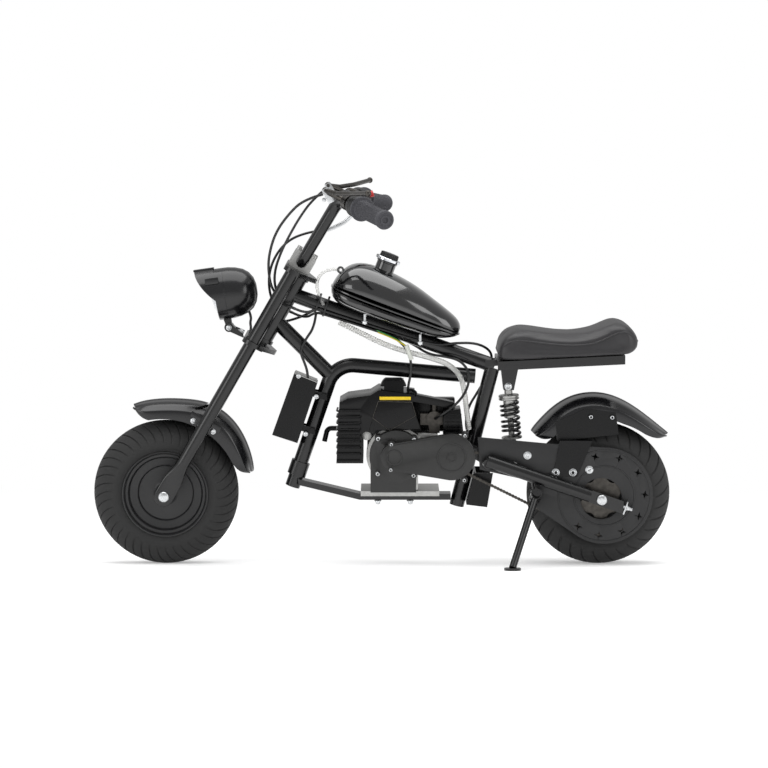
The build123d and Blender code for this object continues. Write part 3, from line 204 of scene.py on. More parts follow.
def turned(profile, centre=(0.0, 0.0, 0.0), steps=72, turn=None):
    """Spins a closed profile of (radius, along Y) pairs about the Y axis, then moves it to its centre."""
    clear()
    bpy.ops.mesh.primitive_circle_add(vertices=len(profile), fill_type="NOTHING")
    piece = bpy.context.object
    for vertex, (radius, along) in zip(piece.data.vertices, profile):
        vertex.co = (radius, along, 0.0)
    bpy.ops.object.mode_set(mode="EDIT")
    bpy.ops.mesh.select_all(action="SELECT")
    bpy.ops.mesh.spin(steps=steps, angle=math.tau, center=(0.0, 0.0, 0.0), axis=(0.0, 1.0, 0.0))
    tidy_mesh(piece)
    if turn:
        piece.data.transform(turn)
    piece.location = centre
    return settled(piece)


def slab(outline, low, high):
    """A flat plate with its outline in x and z, from y low to y high."""
    clear()
    bpy.ops.mesh.primitive_circle_add(vertices=len(outline), fill_type="NGON")
    piece = bpy.context.object
    for vertex, (x, z) in zip(piece.data.vertices, outline):
        vertex.co = (x, low, z)
    bpy.ops.object.mode_set(mode="EDIT")
    bpy.ops.mesh.select_all(action="SELECT")
    bpy.ops.mesh.extrude_region_move(TRANSFORM_OT_translate={"value": (0.0, high - low, 0.0)})
    return tidy_mesh(piece)


def skin(rings, closed=True, caps=True):
    """A surface through rings of points, each ring as long as the others."""
    count = len(rings[0]) + (1 if closed else 0)
    clear()
    bpy.ops.mesh.primitive_grid_add(x_subdivisions=count - 1, y_subdivisions=len(rings) - 1)
    piece = bpy.context.object
    for row, ring in enumerate(rings):
        for column in range(count):
            piece.data.vertices[row * count + column].co = ring[column % len(ring)]
    take(piece)
    bpy.ops.object.mode_set(mode="EDIT")
    bpy.ops.mesh.select_all(action="SELECT")
    bpy.ops.mesh.remove_doubles(threshold=MERGE)
    if caps:
        bpy.ops.mesh.select_all(action="SELECT")
        bpy.ops.mesh.fill_holes(sides=0)
    return tidy_mesh(piece)


def curve_along(points, order, resolution, loop=False):
    """A curve that its points guide smoothly."""
    data = bpy.data.curves.new("run", "CURVE")
    data.dimensions = "3D"
    line = data.splines.new("NURBS")
    line.points.add(len(points) - 1)
    for point, place in zip(line.points, points):
        point.co = (*place, 1.0)
    line.order_u = order
    line.use_cyclic_u = loop
    line.use_endpoint_u = not loop
    line.resolution_u = resolution
    curve = bpy.data.objects.new("run", data)
    bpy.context.scene.collection.objects.link(curve)
    return curve


def tube(points, radius, loop=False, order=3, sides=6, resolution=8):
    """A round cable or wire that follows points smoothly."""
    curve = curve_along(points, order, resolution, loop)
    curve.data.bevel_depth = radius
    curve.data.bevel_resolution = sides
    curve.data.use_fill_caps = True
    take(curve)
    bpy.ops.object.convert(target="MESH")
    return tidy_mesh(bpy.context.object, 0.001)


def modified(piece, kind, **settings):
    """Adds a modifier with its settings and applies it."""
    take(piece)
    modifier = piece.modifiers.new(kind.title(), kind)
    for name, value in settings.items():
        setattr(modifier, name, value)
    bpy.ops.object.modifier_apply(modifier=modifier.name)
    return piece


def smoothed(piece, angle=35.0):
    take(piece)
    bpy.ops.object.shade_smooth_by_angle(angle=math.radians(angle))
    return piece


def softened(piece, width, segments=2, angle=30.0):
    """Rounds every edge that turns by more than the angle."""
    modified(piece, "BEVEL", width=width, segments=segments, limit_method="ANGLE",
             angle_limit=math.radians(angle), miter_outer="MITER_ARC", use_clamp_overlap=True)
    return smoothed(piece)


def cut(piece, *tools):
    for tool in tools:
        modified(piece, "BOOLEAN", operation="DIFFERENCE", object=tool, solver="EXACT")
        bpy.data.objects.remove(tool)
    return piece


def fused(*parts):
    take(parts[0])
    for part in parts:
        part.select_set(True)
    bpy.ops.object.join()
    return bpy.context.object


def copied(piece, places):
    """One copy of a piece, with its own mesh, at each place, joined to one."""
    copies = []
    for place in places:
        twin = piece.copy()
        twin.data = piece.data.copy()
        bpy.context.scene.collection.objects.link(twin)
        twin.data.transform(place)
        copies.append(twin)
    bpy.data.objects.remove(piece)
    return fused(*copies)


def painted(piece, finish):
    piece.data.materials.clear()
    piece.data.materials.append(made_finish(finish))
    return piece


def handed_over(piece, name, body, slot, *nodes, parked=False):
    """Names a finished piece, leans it with the bike and ties it to its body, unless that is None."""
    if not parked:
        piece.data.transform(PARKED)
    piece.name = name
    piece.data.name = name
    if body:
        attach(piece, body)
    if nodes:
        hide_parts(*nodes)
    clear()
    return piece


def bolts(places, radius=5.5, height=4.0):
    """Domed flange heads with a socket, at (point, outward direction) places."""
    profile = [(0.0, height * 0.35), (radius * 0.36, height * 0.35), (radius * 0.4, height * 0.92),
               (radius * 0.56, height), (radius * 0.74, height * 0.84), (radius * 0.82, height * 0.36),
               (radius * 0.97, height * 0.28), (radius, height * 0.1), (radius, -0.4), (0.0, -0.4)]
    heads = [turned(profile, point, steps=24, turn=facing(way)) for point, way in places]
    return smoothed(fused(*heads), 40)


def nuts(places, radius=6.0, height=4.5):
    """Hexagon nuts on washers with the thread standing out, at (point, outward direction) places."""
    washer, thread = 1.2, 2.6
    pieces = []
    for point, way in places:
        point, way = Vector(point), Vector(way).normalized()
        face = point + way * washer
        pieces.append(bar(point - way * 0.3, face, radius * 1.3))
        pieces.append(bar(face, point + way * (washer + height), radius, sides=6))
        pieces.append(bar(face, point + way * (thread + height), radius * 0.5, sides=20))
    return softened(fused(*pieces), 0.4)


def from_frame(node, width=0.6, segments=2, angle=30.0):
    """A copy of a frame node with its doubles merged and its sharp edges rounded."""
    source = frame["nodes"][node]
    piece = source.copy()
    piece.data = source.data.copy()
    piece.parent = None
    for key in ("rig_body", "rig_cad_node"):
        if key in piece:
            del piece[key]
    piece.hide_render = False
    piece.hide_viewport = False
    bpy.context.scene.collection.objects.link(piece)
    take(piece)
    bpy.ops.object.mode_set(mode="EDIT")
    bpy.ops.mesh.select_all(action="SELECT")
    bpy.ops.mesh.remove_doubles(threshold=MERGE * MM)
    bpy.ops.mesh.dissolve_limited(angle_limit=math.radians(1.0))
    bpy.ops.object.mode_set(mode="OBJECT")
    return softened(piece, width * MM, segments, angle)


def dressed(node, name, finish, slot, width, *extras):
    """Replaces a frame node by its rounded copy, joined with extras drawn on the upright bike."""
    piece = painted(from_frame(node, width), finish)
    if extras:
        added = fused(*extras)
        added.data.transform(PARKED)
        piece = fused(piece, added)
    return handed_over(piece, name, "frame", slot, node, parked=True)


# Finishes

def linear(hex_colour):
    """A written sRGB colour as the linear values that the shader takes."""
    channels = [int(hex_colour[i:i + 2], 16) / 255 for i in (1, 3, 5)]
    return tuple(c / 12.92 if c <= 0.04045 else ((c + 0.055) / 1.055) ** 2.4 for c in channels) + (1.0,)


def colour(name, description, hex_colour):
    """A colour property with its default written in sRGB."""
    return bpy.props.FloatVectorProperty(name=name, description=description, default=linear(hex_colour),
                                         subtype="COLOR", size=4, min=0.0, max=1.0)


class BikeColours(bpy.types.PropertyGroup):
    """Colours that change the look without changing the frame."""

    enamel: colour("Frame enamel", "Baked enamel on the frame, fork and handlebar", "#0C0C0D")
    lacquer: colour("Tank lacquer", "Base coat under the tank's clear lacquer", "#08080A")
    fenders: colour("Fender plastic", "Moulded plastic of the fenders and the headlight", "#121214")
    shroud: colour("Shroud plastic", "Moulded plastic round the engine", "#060607")


def chosen(name):
    """A colour that the user may have changed."""
    return getattr(bpy.context.scene.minibike_colours, name)


def per(millimetres):
    """The texture scale whose features are that many millimetres across."""
    return 1.0 / (millimetres * MM)


def add(tree, kind, values=(), links=(), **settings):
    """Adds a node, sets its attributes and input values, and links its inputs."""
    node = tree.nodes.new(kind)
    for name, value in settings.items():
        setattr(node, name, value)
    for name, value in dict(values).items():
        node.inputs[name].default_value = value
    for name, source in dict(links).items():
        tree.links.new(source, node.inputs[name])
    return node


def blank(name):
    """An empty material, its node tree and the Object coordinates that its patterns read."""
    material = bpy.data.materials.new(name)
    material.use_nodes = True
    material.node_tree.nodes.clear()
    tree = material.node_tree
    where = add(tree, "ShaderNodeTexCoord").outputs["Object"]
    return material, tree, where


def close(tree, shader):
    add(tree, "ShaderNodeOutputMaterial", links={"Surface": shader.outputs[0]})


def gloss_black_enamel():
    """Baked black enamel on welded tube: deep black, glassy, with a faint orange peel and dust dulling."""
    material, tree, where = blank("gloss_black_enamel")
    peel = add(tree, "ShaderNodeTexNoise", {"Scale": per(5.0), "Detail": 2.0}, {"Vector": where})
    dust = add(tree, "ShaderNodeTexNoise", {"Scale": per(60.0), "Detail": 6.0}, {"Vector": where})
    dull = add(tree, "ShaderNodeMapRange", {"To Min": 0.16, "To Max": 0.3}, {"Value": dust.outputs["Fac"]})
    bump = add(tree, "ShaderNodeBump", {"Strength": 0.06, "Distance": 0.0002},
               {"Height": peel.outputs["Fac"]})
    close(tree, add(tree, "ShaderNodeBsdfPrincipled", {"Base Color": chosen("enamel"), "IOR": 1.5},
                    {"Roughness": dull.outputs["Result"], "Normal": bump.outputs["Normal"]}))
    return material


def satin_black_enamel():
    """Sprayed satin enamel on pressed steel rims: dark grey sheen, slightly grainy."""
    material, tree, where = blank("satin_black_enamel")
    spray = add(tree, "ShaderNodeTexNoise", {"Scale": per(0.8), "Detail": 3.0}, {"Vector": where})
    dust = add(tree, "ShaderNodeTexNoise", {"Scale": per(35.0), "Detail": 5.0}, {"Vector": where})
    shade = add(tree, "ShaderNodeMix", {"A": linear("#161617"), "B": linear("#222223")},
                {"Factor": dust.outputs["Fac"]}, data_type="RGBA")
    bump = add(tree, "ShaderNodeBump", {"Strength": 0.1, "Distance": 0.0001},
               {"Height": spray.outputs["Fac"]})
    close(tree, add(tree, "ShaderNodeBsdfPrincipled", {"Roughness": 0.42, "IOR": 1.5},
                    {"Base Color": shade.outputs["Result"], "Normal": bump.outputs["Normal"]}))
    return material


def tank_lacquer():
    """Black base under clear lacquer: mirror gloss with the slightest orange peel."""
    material, tree, where = blank("tank_lacquer")
    peel = add(tree, "ShaderNodeTexNoise", {"Scale": per(4.0), "Detail": 1.0}, {"Vector": where})
    bump = add(tree, "ShaderNodeBump", {"Strength": 0.03, "Distance": 0.0001},
               {"Height": peel.outputs["Fac"]})
    swirl = add(tree, "ShaderNodeTexNoise", {"Scale": per(40.0), "Detail": 6.0}, {"Vector": where})
    haze = add(tree, "ShaderNodeMapRange", {"To Min": 0.1, "To Max": 0.2}, {"Value": swirl.outputs["Fac"]})
    close(tree, add(tree, "ShaderNodeBsdfPrincipled",
                    {"Base Color": chosen("lacquer"), "Coat Weight": 1.0, "Coat Roughness": 0.05},
                    {"Roughness": haze.outputs["Result"], "Normal": bump.outputs["Normal"]}))
    return material


def polished_polypropylene():
    """Injection moulded fender plastic: black, glossy, softly rippled where it shrank."""
    material, tree, where = blank("polished_polypropylene")
    ripple = add(tree, "ShaderNodeTexNoise", {"Scale": per(18.0), "Detail": 1.0}, {"Vector": where})
    scuff = add(tree, "ShaderNodeTexNoise", {"Scale": per(9.0), "Detail": 7.0}, {"Vector": where})
    dull = add(tree, "ShaderNodeMapRange", {"To Min": 0.14, "To Max": 0.28}, {"Value": scuff.outputs["Fac"]})
    bump = add(tree, "ShaderNodeBump", {"Strength": 0.05, "Distance": 0.0005},
               {"Height": ripple.outputs["Fac"]})
    close(tree, add(tree, "ShaderNodeBsdfPrincipled", {"Base Color": chosen("fenders"), "IOR": 1.49},
                    {"Roughness": dull.outputs["Result"], "Normal": bump.outputs["Normal"]}))
    return material


def grained_nylon():
    """Glass filled nylon from a spark eroded mould: dull black with a fine even grain."""
    material, tree, where = blank("grained_nylon")
    grain = add(tree, "ShaderNodeTexNoise", {"Scale": per(0.7), "Detail": 4.0}, {"Vector": where})
    handling = add(tree, "ShaderNodeTexNoise", {"Scale": per(30.0), "Detail": 4.0}, {"Vector": where})
    shade = add(tree, "ShaderNodeMix", {"A": linear("#101011"), "B": linear("#1B1B1C")},
                {"Factor": handling.outputs["Fac"]}, data_type="RGBA")
    bump = add(tree, "ShaderNodeBump", {"Strength": 0.25, "Distance": 0.0001},
               {"Height": grain.outputs["Fac"]})
    close(tree, add(tree, "ShaderNodeBsdfPrincipled", {"Roughness": 0.48, "IOR": 1.5},
                    {"Base Color": shade.outputs["Result"], "Normal": bump.outputs["Normal"]}))
    return material


def glossy_shroud_plastic():
    """Moulded shroud plastic: near black, wiped glossy, with faint flow and dust in the corners."""
    material, tree, where = blank("glossy_shroud_plastic")
    dust = add(tree, "ShaderNodeTexNoise", {"Scale": per(22.0), "Detail": 6.0}, {"Vector": where})
    skin_marks = add(tree, "ShaderNodeTexNoise", {"Scale": per(2.5), "Detail": 3.0}, {"Vector": where})
    dull = add(tree, "ShaderNodeMapRange", {"To Min": 0.18, "To Max": 0.34}, {"Value": dust.outputs["Fac"]})
    bump = add(tree, "ShaderNodeBump", {"Strength": 0.1, "Distance": 0.0002},
               {"Height": skin_marks.outputs["Fac"]})
    close(tree, add(tree, "ShaderNodeBsdfPrincipled", {"Base Color": chosen("shroud"), "IOR": 1.32},
                    {"Roughness": dull.outputs["Result"], "Normal": bump.outputs["Normal"]}))
    return material


def painted_casting():
    """Black paint over sand blasted castings: low sheen that keeps the casting's pits."""
    material, tree, where = blank("painted_casting")
    pits = add(tree, "ShaderNodeTexNoise", {"Scale": per(1.6), "Detail": 6.0, "Roughness": 0.6},
               {"Vector": where})
    wear = add(tree, "ShaderNodeTexNoise", {"Scale": per(25.0), "Detail": 5.0}, {"Vector": where})
    shade = add(tree, "ShaderNodeMix", {"A": linear("#131313"), "B": linear("#232322")},
                {"Factor": wear.outputs["Fac"]}, data_type="RGBA")
    bump = add(tree, "ShaderNodeBump", {"Strength": 0.3, "Distance": 0.0002}, {"Height": pits.outputs["Fac"]})
    close(tree, add(tree, "ShaderNodeBsdfPrincipled", {"Roughness": 0.4, "IOR": 1.5},
                    {"Base Color": shade.outputs["Result"], "Normal": bump.outputs["Normal"]}))
    return material


def die_cast_aluminium():
    """Bare die cast aluminium: pale grey, matt, with flow marks and a little grime in them."""
    material, tree, where = blank("die_cast_aluminium")
    pits = add(tree, "ShaderNodeTexNoise", {"Scale": per(1.2), "Detail": 5.0}, {"Vector": where})
    flow = add(tree, "ShaderNodeTexNoise", {"Scale": per(14.0), "Detail": 6.0, "Distortion": 0.6},
               {"Vector": where})
    shade = add(tree, "ShaderNodeMix", {"A": linear("#8E8E8C"), "B": linear("#C6C6C4")},
                {"Factor": flow.outputs["Fac"]}, data_type="RGBA")
    dull = add(tree, "ShaderNodeMapRange", {"To Min": 0.34, "To Max": 0.52}, {"Value": flow.outputs["Fac"]})
    bump = add(tree, "ShaderNodeBump", {"Strength": 0.25, "Distance": 0.00015},
               {"Height": pits.outputs["Fac"]})
    close(tree, add(tree, "ShaderNodeBsdfPrincipled", {"Metallic": 1.0},
                    {"Base Color": shade.outputs["Result"], "Roughness": dull.outputs["Result"],
                     "Normal": bump.outputs["Normal"]}))
    return material


def zinc_plated_steel():
    """Bright zinc on bolts and levers: cool silver, lightly hazed, with fine rubbing marks."""
    material, tree, where = blank("zinc_plated_steel")
    haze = add(tree, "ShaderNodeTexNoise", {"Scale": per(6.0), "Detail": 6.0}, {"Vector": where})
    shade = add(tree, "ShaderNodeMix", {"A": linear("#B4B6B8"), "B": linear("#DADCDD")},
                {"Factor": haze.outputs["Fac"]}, data_type="RGBA")
    dull = add(tree, "ShaderNodeMapRange", {"To Min": 0.2, "To Max": 0.36}, {"Value": haze.outputs["Fac"]})
    close(tree, add(tree, "ShaderNodeBsdfPrincipled", {"Metallic": 1.0},
                    {"Base Color": shade.outputs["Result"], "Roughness": dull.outputs["Result"]}))
    return material


def bright_chrome():
    """Chrome plate: a clean mirror, kept from looking computed by faint haze."""
    material, tree, where = blank("bright_chrome")
    haze = add(tree, "ShaderNodeTexNoise", {"Scale": per(12.0), "Detail": 4.0}, {"Vector": where})
    dull = add(tree, "ShaderNodeMapRange", {"To Min": 0.05, "To Max": 0.12}, {"Value": haze.outputs["Fac"]})
    close(tree, add(tree, "ShaderNodeBsdfPrincipled", {"Metallic": 1.0, "Base Color": linear("#DADCE0")},
                    {"Roughness": dull.outputs["Result"]}))
    return material


def oiled_steel():
    """Chain steel with a film of oil: dark, with grime in patches."""
    material, tree, where = blank("oiled_steel")
    grime = add(tree, "ShaderNodeTexNoise", {"Scale": per(8.0), "Detail": 6.0}, {"Vector": where})
    shade = add(tree, "ShaderNodeMix", {"A": linear("#2C2A28"), "B": linear("#5C5955")},
                {"Factor": grime.outputs["Fac"]}, data_type="RGBA")
    close(tree, add(tree, "ShaderNodeBsdfPrincipled", {"Metallic": 1.0, "Roughness": 0.38},
                    {"Base Color": shade.outputs["Result"]}))
    return material


def tyre_rubber():
    """Moulded tyre compound: charcoal, matt, a touch paler where the tread is handled."""
    material, tree, where = blank("tyre_rubber")
    bloom = add(tree, "ShaderNodeTexNoise", {"Scale": per(28.0), "Detail": 6.0}, {"Vector": where})
    grit = add(tree, "ShaderNodeTexNoise", {"Scale": per(0.9), "Detail": 3.0}, {"Vector": where})
    shade = add(tree, "ShaderNodeMix", {"A": linear("#2B292A"), "B": linear("#3C3A3A")},
                {"Factor": bloom.outputs["Fac"]}, data_type="RGBA")
    dull = add(tree, "ShaderNodeMapRange", {"To Min": 0.5, "To Max": 0.72}, {"Value": bloom.outputs["Fac"]})
    bump = add(tree, "ShaderNodeBump", {"Strength": 0.2, "Distance": 0.0001}, {"Height": grit.outputs["Fac"]})
    close(tree, add(tree, "ShaderNodeBsdfPrincipled", {"IOR": 1.5},
                    {"Base Color": shade.outputs["Result"], "Roughness": dull.outputs["Result"],
                     "Normal": bump.outputs["Normal"]}))
    return material


def grip_rubber():
    """Soft thermoplastic rubber grips: mid grey, powdery, almost without shine."""
    material, tree, where = blank("grip_rubber")
    powder = add(tree, "ShaderNodeTexNoise", {"Scale": per(1.0), "Detail": 5.0}, {"Vector": where})
    shade = add(tree, "ShaderNodeMix", {"A": linear("#3A3A3D"), "B": linear("#4A4A4D")},
                {"Factor": powder.outputs["Fac"]}, data_type="RGBA")
    bump = add(tree, "ShaderNodeBump", {"Strength": 0.2, "Distance": 0.0001},
               {"Height": powder.outputs["Fac"]})
    close(tree, add(tree, "ShaderNodeBsdfPrincipled", {"Roughness": 0.62, "IOR": 1.5},
                    {"Base Color": shade.outputs["Result"], "Normal": bump.outputs["Normal"]}))
    return material


def cable_sheath():
    """Extruded black vinyl sheath: smooth with a soft shine."""
    material, tree, where = blank("cable_sheath")
    draw = add(tree, "ShaderNodeTexNoise", {"Scale": per(3.0), "Detail": 2.0}, {"Vector": where})
    dull = add(tree, "ShaderNodeMapRange", {"To Min": 0.26, "To Max": 0.42}, {"Value": draw.outputs["Fac"]})
    close(tree, add(tree, "ShaderNodeBsdfPrincipled", {"Base Color": linear("#101011"), "IOR": 1.5},
                    {"Roughness": dull.outputs["Result"]}))
    return material


def seat_vinyl():
    """Embossed vinyl on the seat: charcoal with a pebbled leather grain and soft highlights."""
    material, tree, where = blank("seat_vinyl")
    pebble = add(tree, "ShaderNodeTexVoronoi", {"Scale": per(1.7)}, {"Vector": where}, feature="SMOOTH_F1")
    crease = add(tree, "ShaderNodeTexNoise", {"Scale": per(0.8), "Detail": 5.0}, {"Vector": where})
    both = add(tree, "ShaderNodeMath", {1: 0.35}, {0: crease.outputs["Fac"], 2: pebble.outputs["Distance"]},
               operation="MULTIPLY_ADD")
    wear = add(tree, "ShaderNodeTexNoise", {"Scale": per(45.0), "Detail": 3.0}, {"Vector": where})
    shade = add(tree, "ShaderNodeMix", {"A": linear("#1E1D1F"), "B": linear("#29282A")},
                {"Factor": wear.outputs["Fac"]}, data_type="RGBA")
    bump = add(tree, "ShaderNodeBump", {"Strength": 0.35, "Distance": 0.0002},
               {"Height": both.outputs["Value"]})
    close(tree, add(tree, "ShaderNodeBsdfPrincipled", {"Roughness": 0.46, "IOR": 1.5},
                    {"Base Color": shade.outputs["Result"], "Normal": bump.outputs["Normal"]}))
    return material


def lamp_glass():
    """Clear polycarbonate lens: colourless and glossy."""
    material, tree, where = blank("lamp_glass")
    flow = add(tree, "ShaderNodeTexNoise", {"Scale": per(20.0)}, {"Vector": where})
    dull = add(tree, "ShaderNodeMapRange", {"To Min": 0.02, "To Max": 0.06}, {"Value": flow.outputs["Fac"]})
    close(tree, add(tree, "ShaderNodeBsdfPrincipled",
                    {"Base Color": linear("#F4F6F8"), "Transmission Weight": 1.0, "IOR": 1.46},
                    {"Roughness": dull.outputs["Result"]}))
    return material


def clear_vinyl():
    """Clear soft vinyl hose: milky where it is thick, with a wet shine."""
    material, tree, where = blank("clear_vinyl")
    haze = add(tree, "ShaderNodeTexNoise", {"Scale": per(9.0), "Detail": 3.0}, {"Vector": where})
    dull = add(tree, "ShaderNodeMapRange", {"To Min": 0.12, "To Max": 0.3}, {"Value": haze.outputs["Fac"]})
    close(tree, add(tree, "ShaderNodeBsdfPrincipled",
                    {"Base Color": linear("#F6F6F4"), "Transmission Weight": 0.7, "IOR": 1.35},
                    {"Roughness": dull.outputs["Result"]}))
    return material


# dark and light shade, and roughness, of the small coloured mouldings
MOULDINGS = {
    "signal_red_abs": ("#A81C1A", "#C62A24", 0.32),
    "yellow_vinyl_strip": ("#D9B70A", "#EBCB1C", 0.4),
    "milky_nylon": ("#C9CBC4", "#E2E4DC", 0.45),
    "yellow_sheath": ("#C9B21E", "#E0CB2E", 0.36),
    "green_sheath": ("#2E7A3A", "#3F944A", 0.36),
}


def moulding(name):
    """Coloured plastic moulded in one shot: even colour, faint flow marks and a soft shine."""
    dark, light, roughness = MOULDINGS[name]
    material, tree, where = blank(name)
    flow = add(tree, "ShaderNodeTexNoise", {"Scale": per(7.0), "Detail": 4.0}, {"Vector": where})
    shade = add(tree, "ShaderNodeMix", {"A": linear(dark), "B": linear(light)},
                {"Factor": flow.outputs["Fac"]}, data_type="RGBA")
    bump = add(tree, "ShaderNodeBump", {"Strength": 0.08, "Distance": 0.0001},
               {"Height": flow.outputs["Fac"]})
    close(tree, add(tree, "ShaderNodeBsdfPrincipled", {"Roughness": roughness, "IOR": 1.5},
                    {"Base Color": shade.outputs["Result"], "Normal": bump.outputs["Normal"]}))
    return material


FINISHES = {maker.__name__: maker for maker in (
    gloss_black_enamel, satin_black_enamel, tank_lacquer, polished_polypropylene, grained_nylon,
    glossy_shroud_plastic, painted_casting, die_cast_aluminium, zinc_plated_steel, bright_chrome, oiled_steel,
    tyre_rubber, grip_rubber, cable_sheath, seat_vinyl, lamp_glass, clear_vinyl)}


def made_finish(name):
    """The material of that name, made when it is first asked for."""
    made = bpy.data.materials.get(name)
    if made is None:
        made = FINISHES[name]() if name in FINISHES else moulding(name)
    return made


# Frame nodes that stay as they are and get their finish
NODE_FINISHES = {
    "gloss_black_enamel": ("main_frame", "seat_tray", "swingarm", "upper_clamp", "lower_clamp", "handlebar",
                           "headlight_bracket", "side_stand", "stand_bracket"),
    "glossy_shroud_plastic": ("control_box", "fender_bracket", "splash_plate", "muffler"),
    "die_cast_aluminium": ("engine_plate", "bar_clamps", "brake_caliper"),
    "zinc_plated_steel": ("brake_disc",),
    "oiled_steel": ("drive_sprocket", "rear_sprocket", "brake_levers", "carburettor"),
}


class FrameFinishes(bpy.types.Operator):
    """Gives the frame's own nodes their finishes"""

    bl_idname = "minibike.frame_finishes"
    bl_label = "Frame finishes"

    def execute(self, context):
        for finish, nodes in NODE_FINISHES.items():
            for node in nodes:
                smoothed(painted(frame["nodes"][node], finish))
        clear()
        return {"FINISHED"}


# Wheels

FRONT_TYRE_WIDTH = 90.0
FRONT_SHOULDER_R = 105.0
FRONT_HUB_HALF = 57.0
FRONT_AXLE_HALF = 68.3
REAR_TYRE_WIDTH = 106.0
REAR_SHOULDER_R = 108.0
REAR_HUB_HALF = 58.0
REAR_AXLE_HALF = 95.3
AXLE_HEAD_R = 10.5
BEAD_R = 82.8
BEAD_INSET = 12.0
CROWN_ROWS = 26
WALL_ROWS = 12
# share of a sipe's pitch, share of its depth
SIPE_COLUMNS = ((0.0, 0.0), (0.03, 1.0), (0.13, 1.0), (0.17, 0.0), (0.38, 0.0), (0.58, 0.0), (0.79, 0.0))
SIPE_DEPTH = 3.4
SIPE_SWEEP = math.radians(12.0)
SIPE_CURVE = 1.4
# half of the plain band round the crown, and the width over which a sipe deepens beside it
CROWN_BAND = 4.0


def arc_through(start, middle, end, count):
    """Points on the circle through three (radius, along) pairs, the last one left out."""
    a, b, c = (complex(*p) for p in (start, middle, end))
    w = (c - a) / (b - a)
    centre = (b - a) * (w - abs(w) ** 2) / (2j * w.imag) + a
    radius = abs(a - centre)
    first = math.atan2((a - centre).imag, (a - centre).real)
    sweep = math.atan2((c - centre).imag, (c - centre).real) - first
    half = math.atan2((b - centre).imag, (b - centre).real) - first
    sweep %= math.tau
    if half % math.tau > sweep:
        sweep -= math.tau
    steps = [first + sweep * index / count for index in range(count)]
    return [(centre.real + radius * math.cos(t), centre.imag + radius * math.sin(t)) for t in steps]


def tread_tyre(centre, radius, width, shoulder, sipes):
    """A tyre whose sipes sweep back over the crown to each shoulder."""
    half = width / 2
    swell = ((shoulder + BEAD_R) / 2, half + 0.5)
    wall = arc_through((BEAD_R, half - BEAD_INSET), swell, (shoulder, half), WALL_ROWS)
    crown = arc_through((shoulder, half), (radius, 0.0), (shoulder, -half), CROWN_ROWS)
    profile = wall + crown + [(r, -y) for r, y in reversed(wall)]
    pitch = math.tau / sipes
    rings = []
    for r, y in profile:
        share = min(abs(y) / half, 1.0) if r >= shoulder - 0.5 else 1.0
        on_tread = r > shoulder - 3.0 and abs(y) > CROWN_BAND
        depth = SIPE_DEPTH * min(1.0, (abs(y) - CROWN_BAND) / CROWN_BAND) if on_tread else 0.0
        if r < shoulder + 1.0:
            depth *= 0.5
        sweep = SIPE_SWEEP * share ** SIPE_CURVE
        ring = []
        for index in range(sipes):
            for part, low in SIPE_COLUMNS:
                angle = pitch * (index + part) + sweep
                reach = r - depth * low
                ring.append(centre + Vector((reach * math.cos(angle), y, reach * math.sin(angle))))
        rings.append(ring)
    rings.append(rings[0])
    return smoothed(skin(rings, caps=False), 40.0)


def pressed_rim(centre, width, hub_half):
    """A steel rim from its lip over the bead seat, step and dished face to the hub, the same both sides."""
    half = width / 2 - BEAD_INSET
    lip = half + 5.0
    face = [
        (82.5, half), (84.0, half + 3.0), (83.6, lip), (81.0, lip + 0.6), (79.6, lip - 1.0),
        (79.0, half - 2.0), (77.5, half - 4.0), (73.0, half - 4.6), (71.0, half - 7.0),
        (69.6, half - 12.4), (67.0, half - 13.4), (57.0, half - 13.0), (54.6, half - 14.0),
        (52.4, half - 17.6), (50.0, half - 18.0), (24.0, half - 16.4), (20.5, half - 14.0),
        (19.0, half - 8.0), (18.6, hub_half - 1.0), (17.6, hub_half), (6.3, hub_half),
    ]
    profile = face + [(r, -y) for r, y in reversed(face)]
    return smoothed(turned(profile, centre, steps=128), 28.0)


def axle_ends(centre, half, head_radius):
    """Domed head on the left, hexagon nut, washer and bare thread on the right."""
    left, right = (centre + Vector((0.0, y, 0.0)) for y in (half, -half))
    washer_end, nut_end, thread_end = (right - Vector((0.0, y, 0.0)) for y in (1.6, 6.0, 18.0))
    dome = [(0.0, 0.0), (head_radius, 0.0), (head_radius, 2.6), (head_radius * 0.82, 4.9),
            (head_radius * 0.45, 5.9), (0.0, 6.0)]
    axle = bar(thread_end, left, 5.0)
    head = turned(dome, left, steps=40)
    washer = bar(washer_end, right, head_radius + 2.0)
    nut = bar(nut_end, washer_end, head_radius, sides=6)
    spacer = crossbar(centre, half - 8.4, 6.0)
    return softened(fused(axle, head, washer, nut, spacer), 0.5)


class Tyres(bpy.types.Operator):
    """Both tyres with their swept sipes"""

    bl_idname = "minibike.tyres"
    bl_label = "Tyres"

    def execute(self, context):
        sizes = context.scene.minibike_sizes
        tread = tread_tyre(FRONT_AXLE, sizes.front_tyre_radius / MM, FRONT_TYRE_WIDTH, FRONT_SHOULDER_R,
                           sizes.front_sipes)
        handed_over(painted(tread, "tyre_rubber"), "front_tread", "front_wheel", "tyre_rubber", "front_tyre")
        tread = tread_tyre(REAR_AXLE, sizes.rear_tyre_radius / MM, REAR_TYRE_WIDTH, REAR_SHOULDER_R,
                           sizes.rear_sipes)
        handed_over(painted(tread, "tyre_rubber"), "rear_tread", "rear_wheel", "tyre_rubber", "rear_tyre")
        return {"FINISHED"}


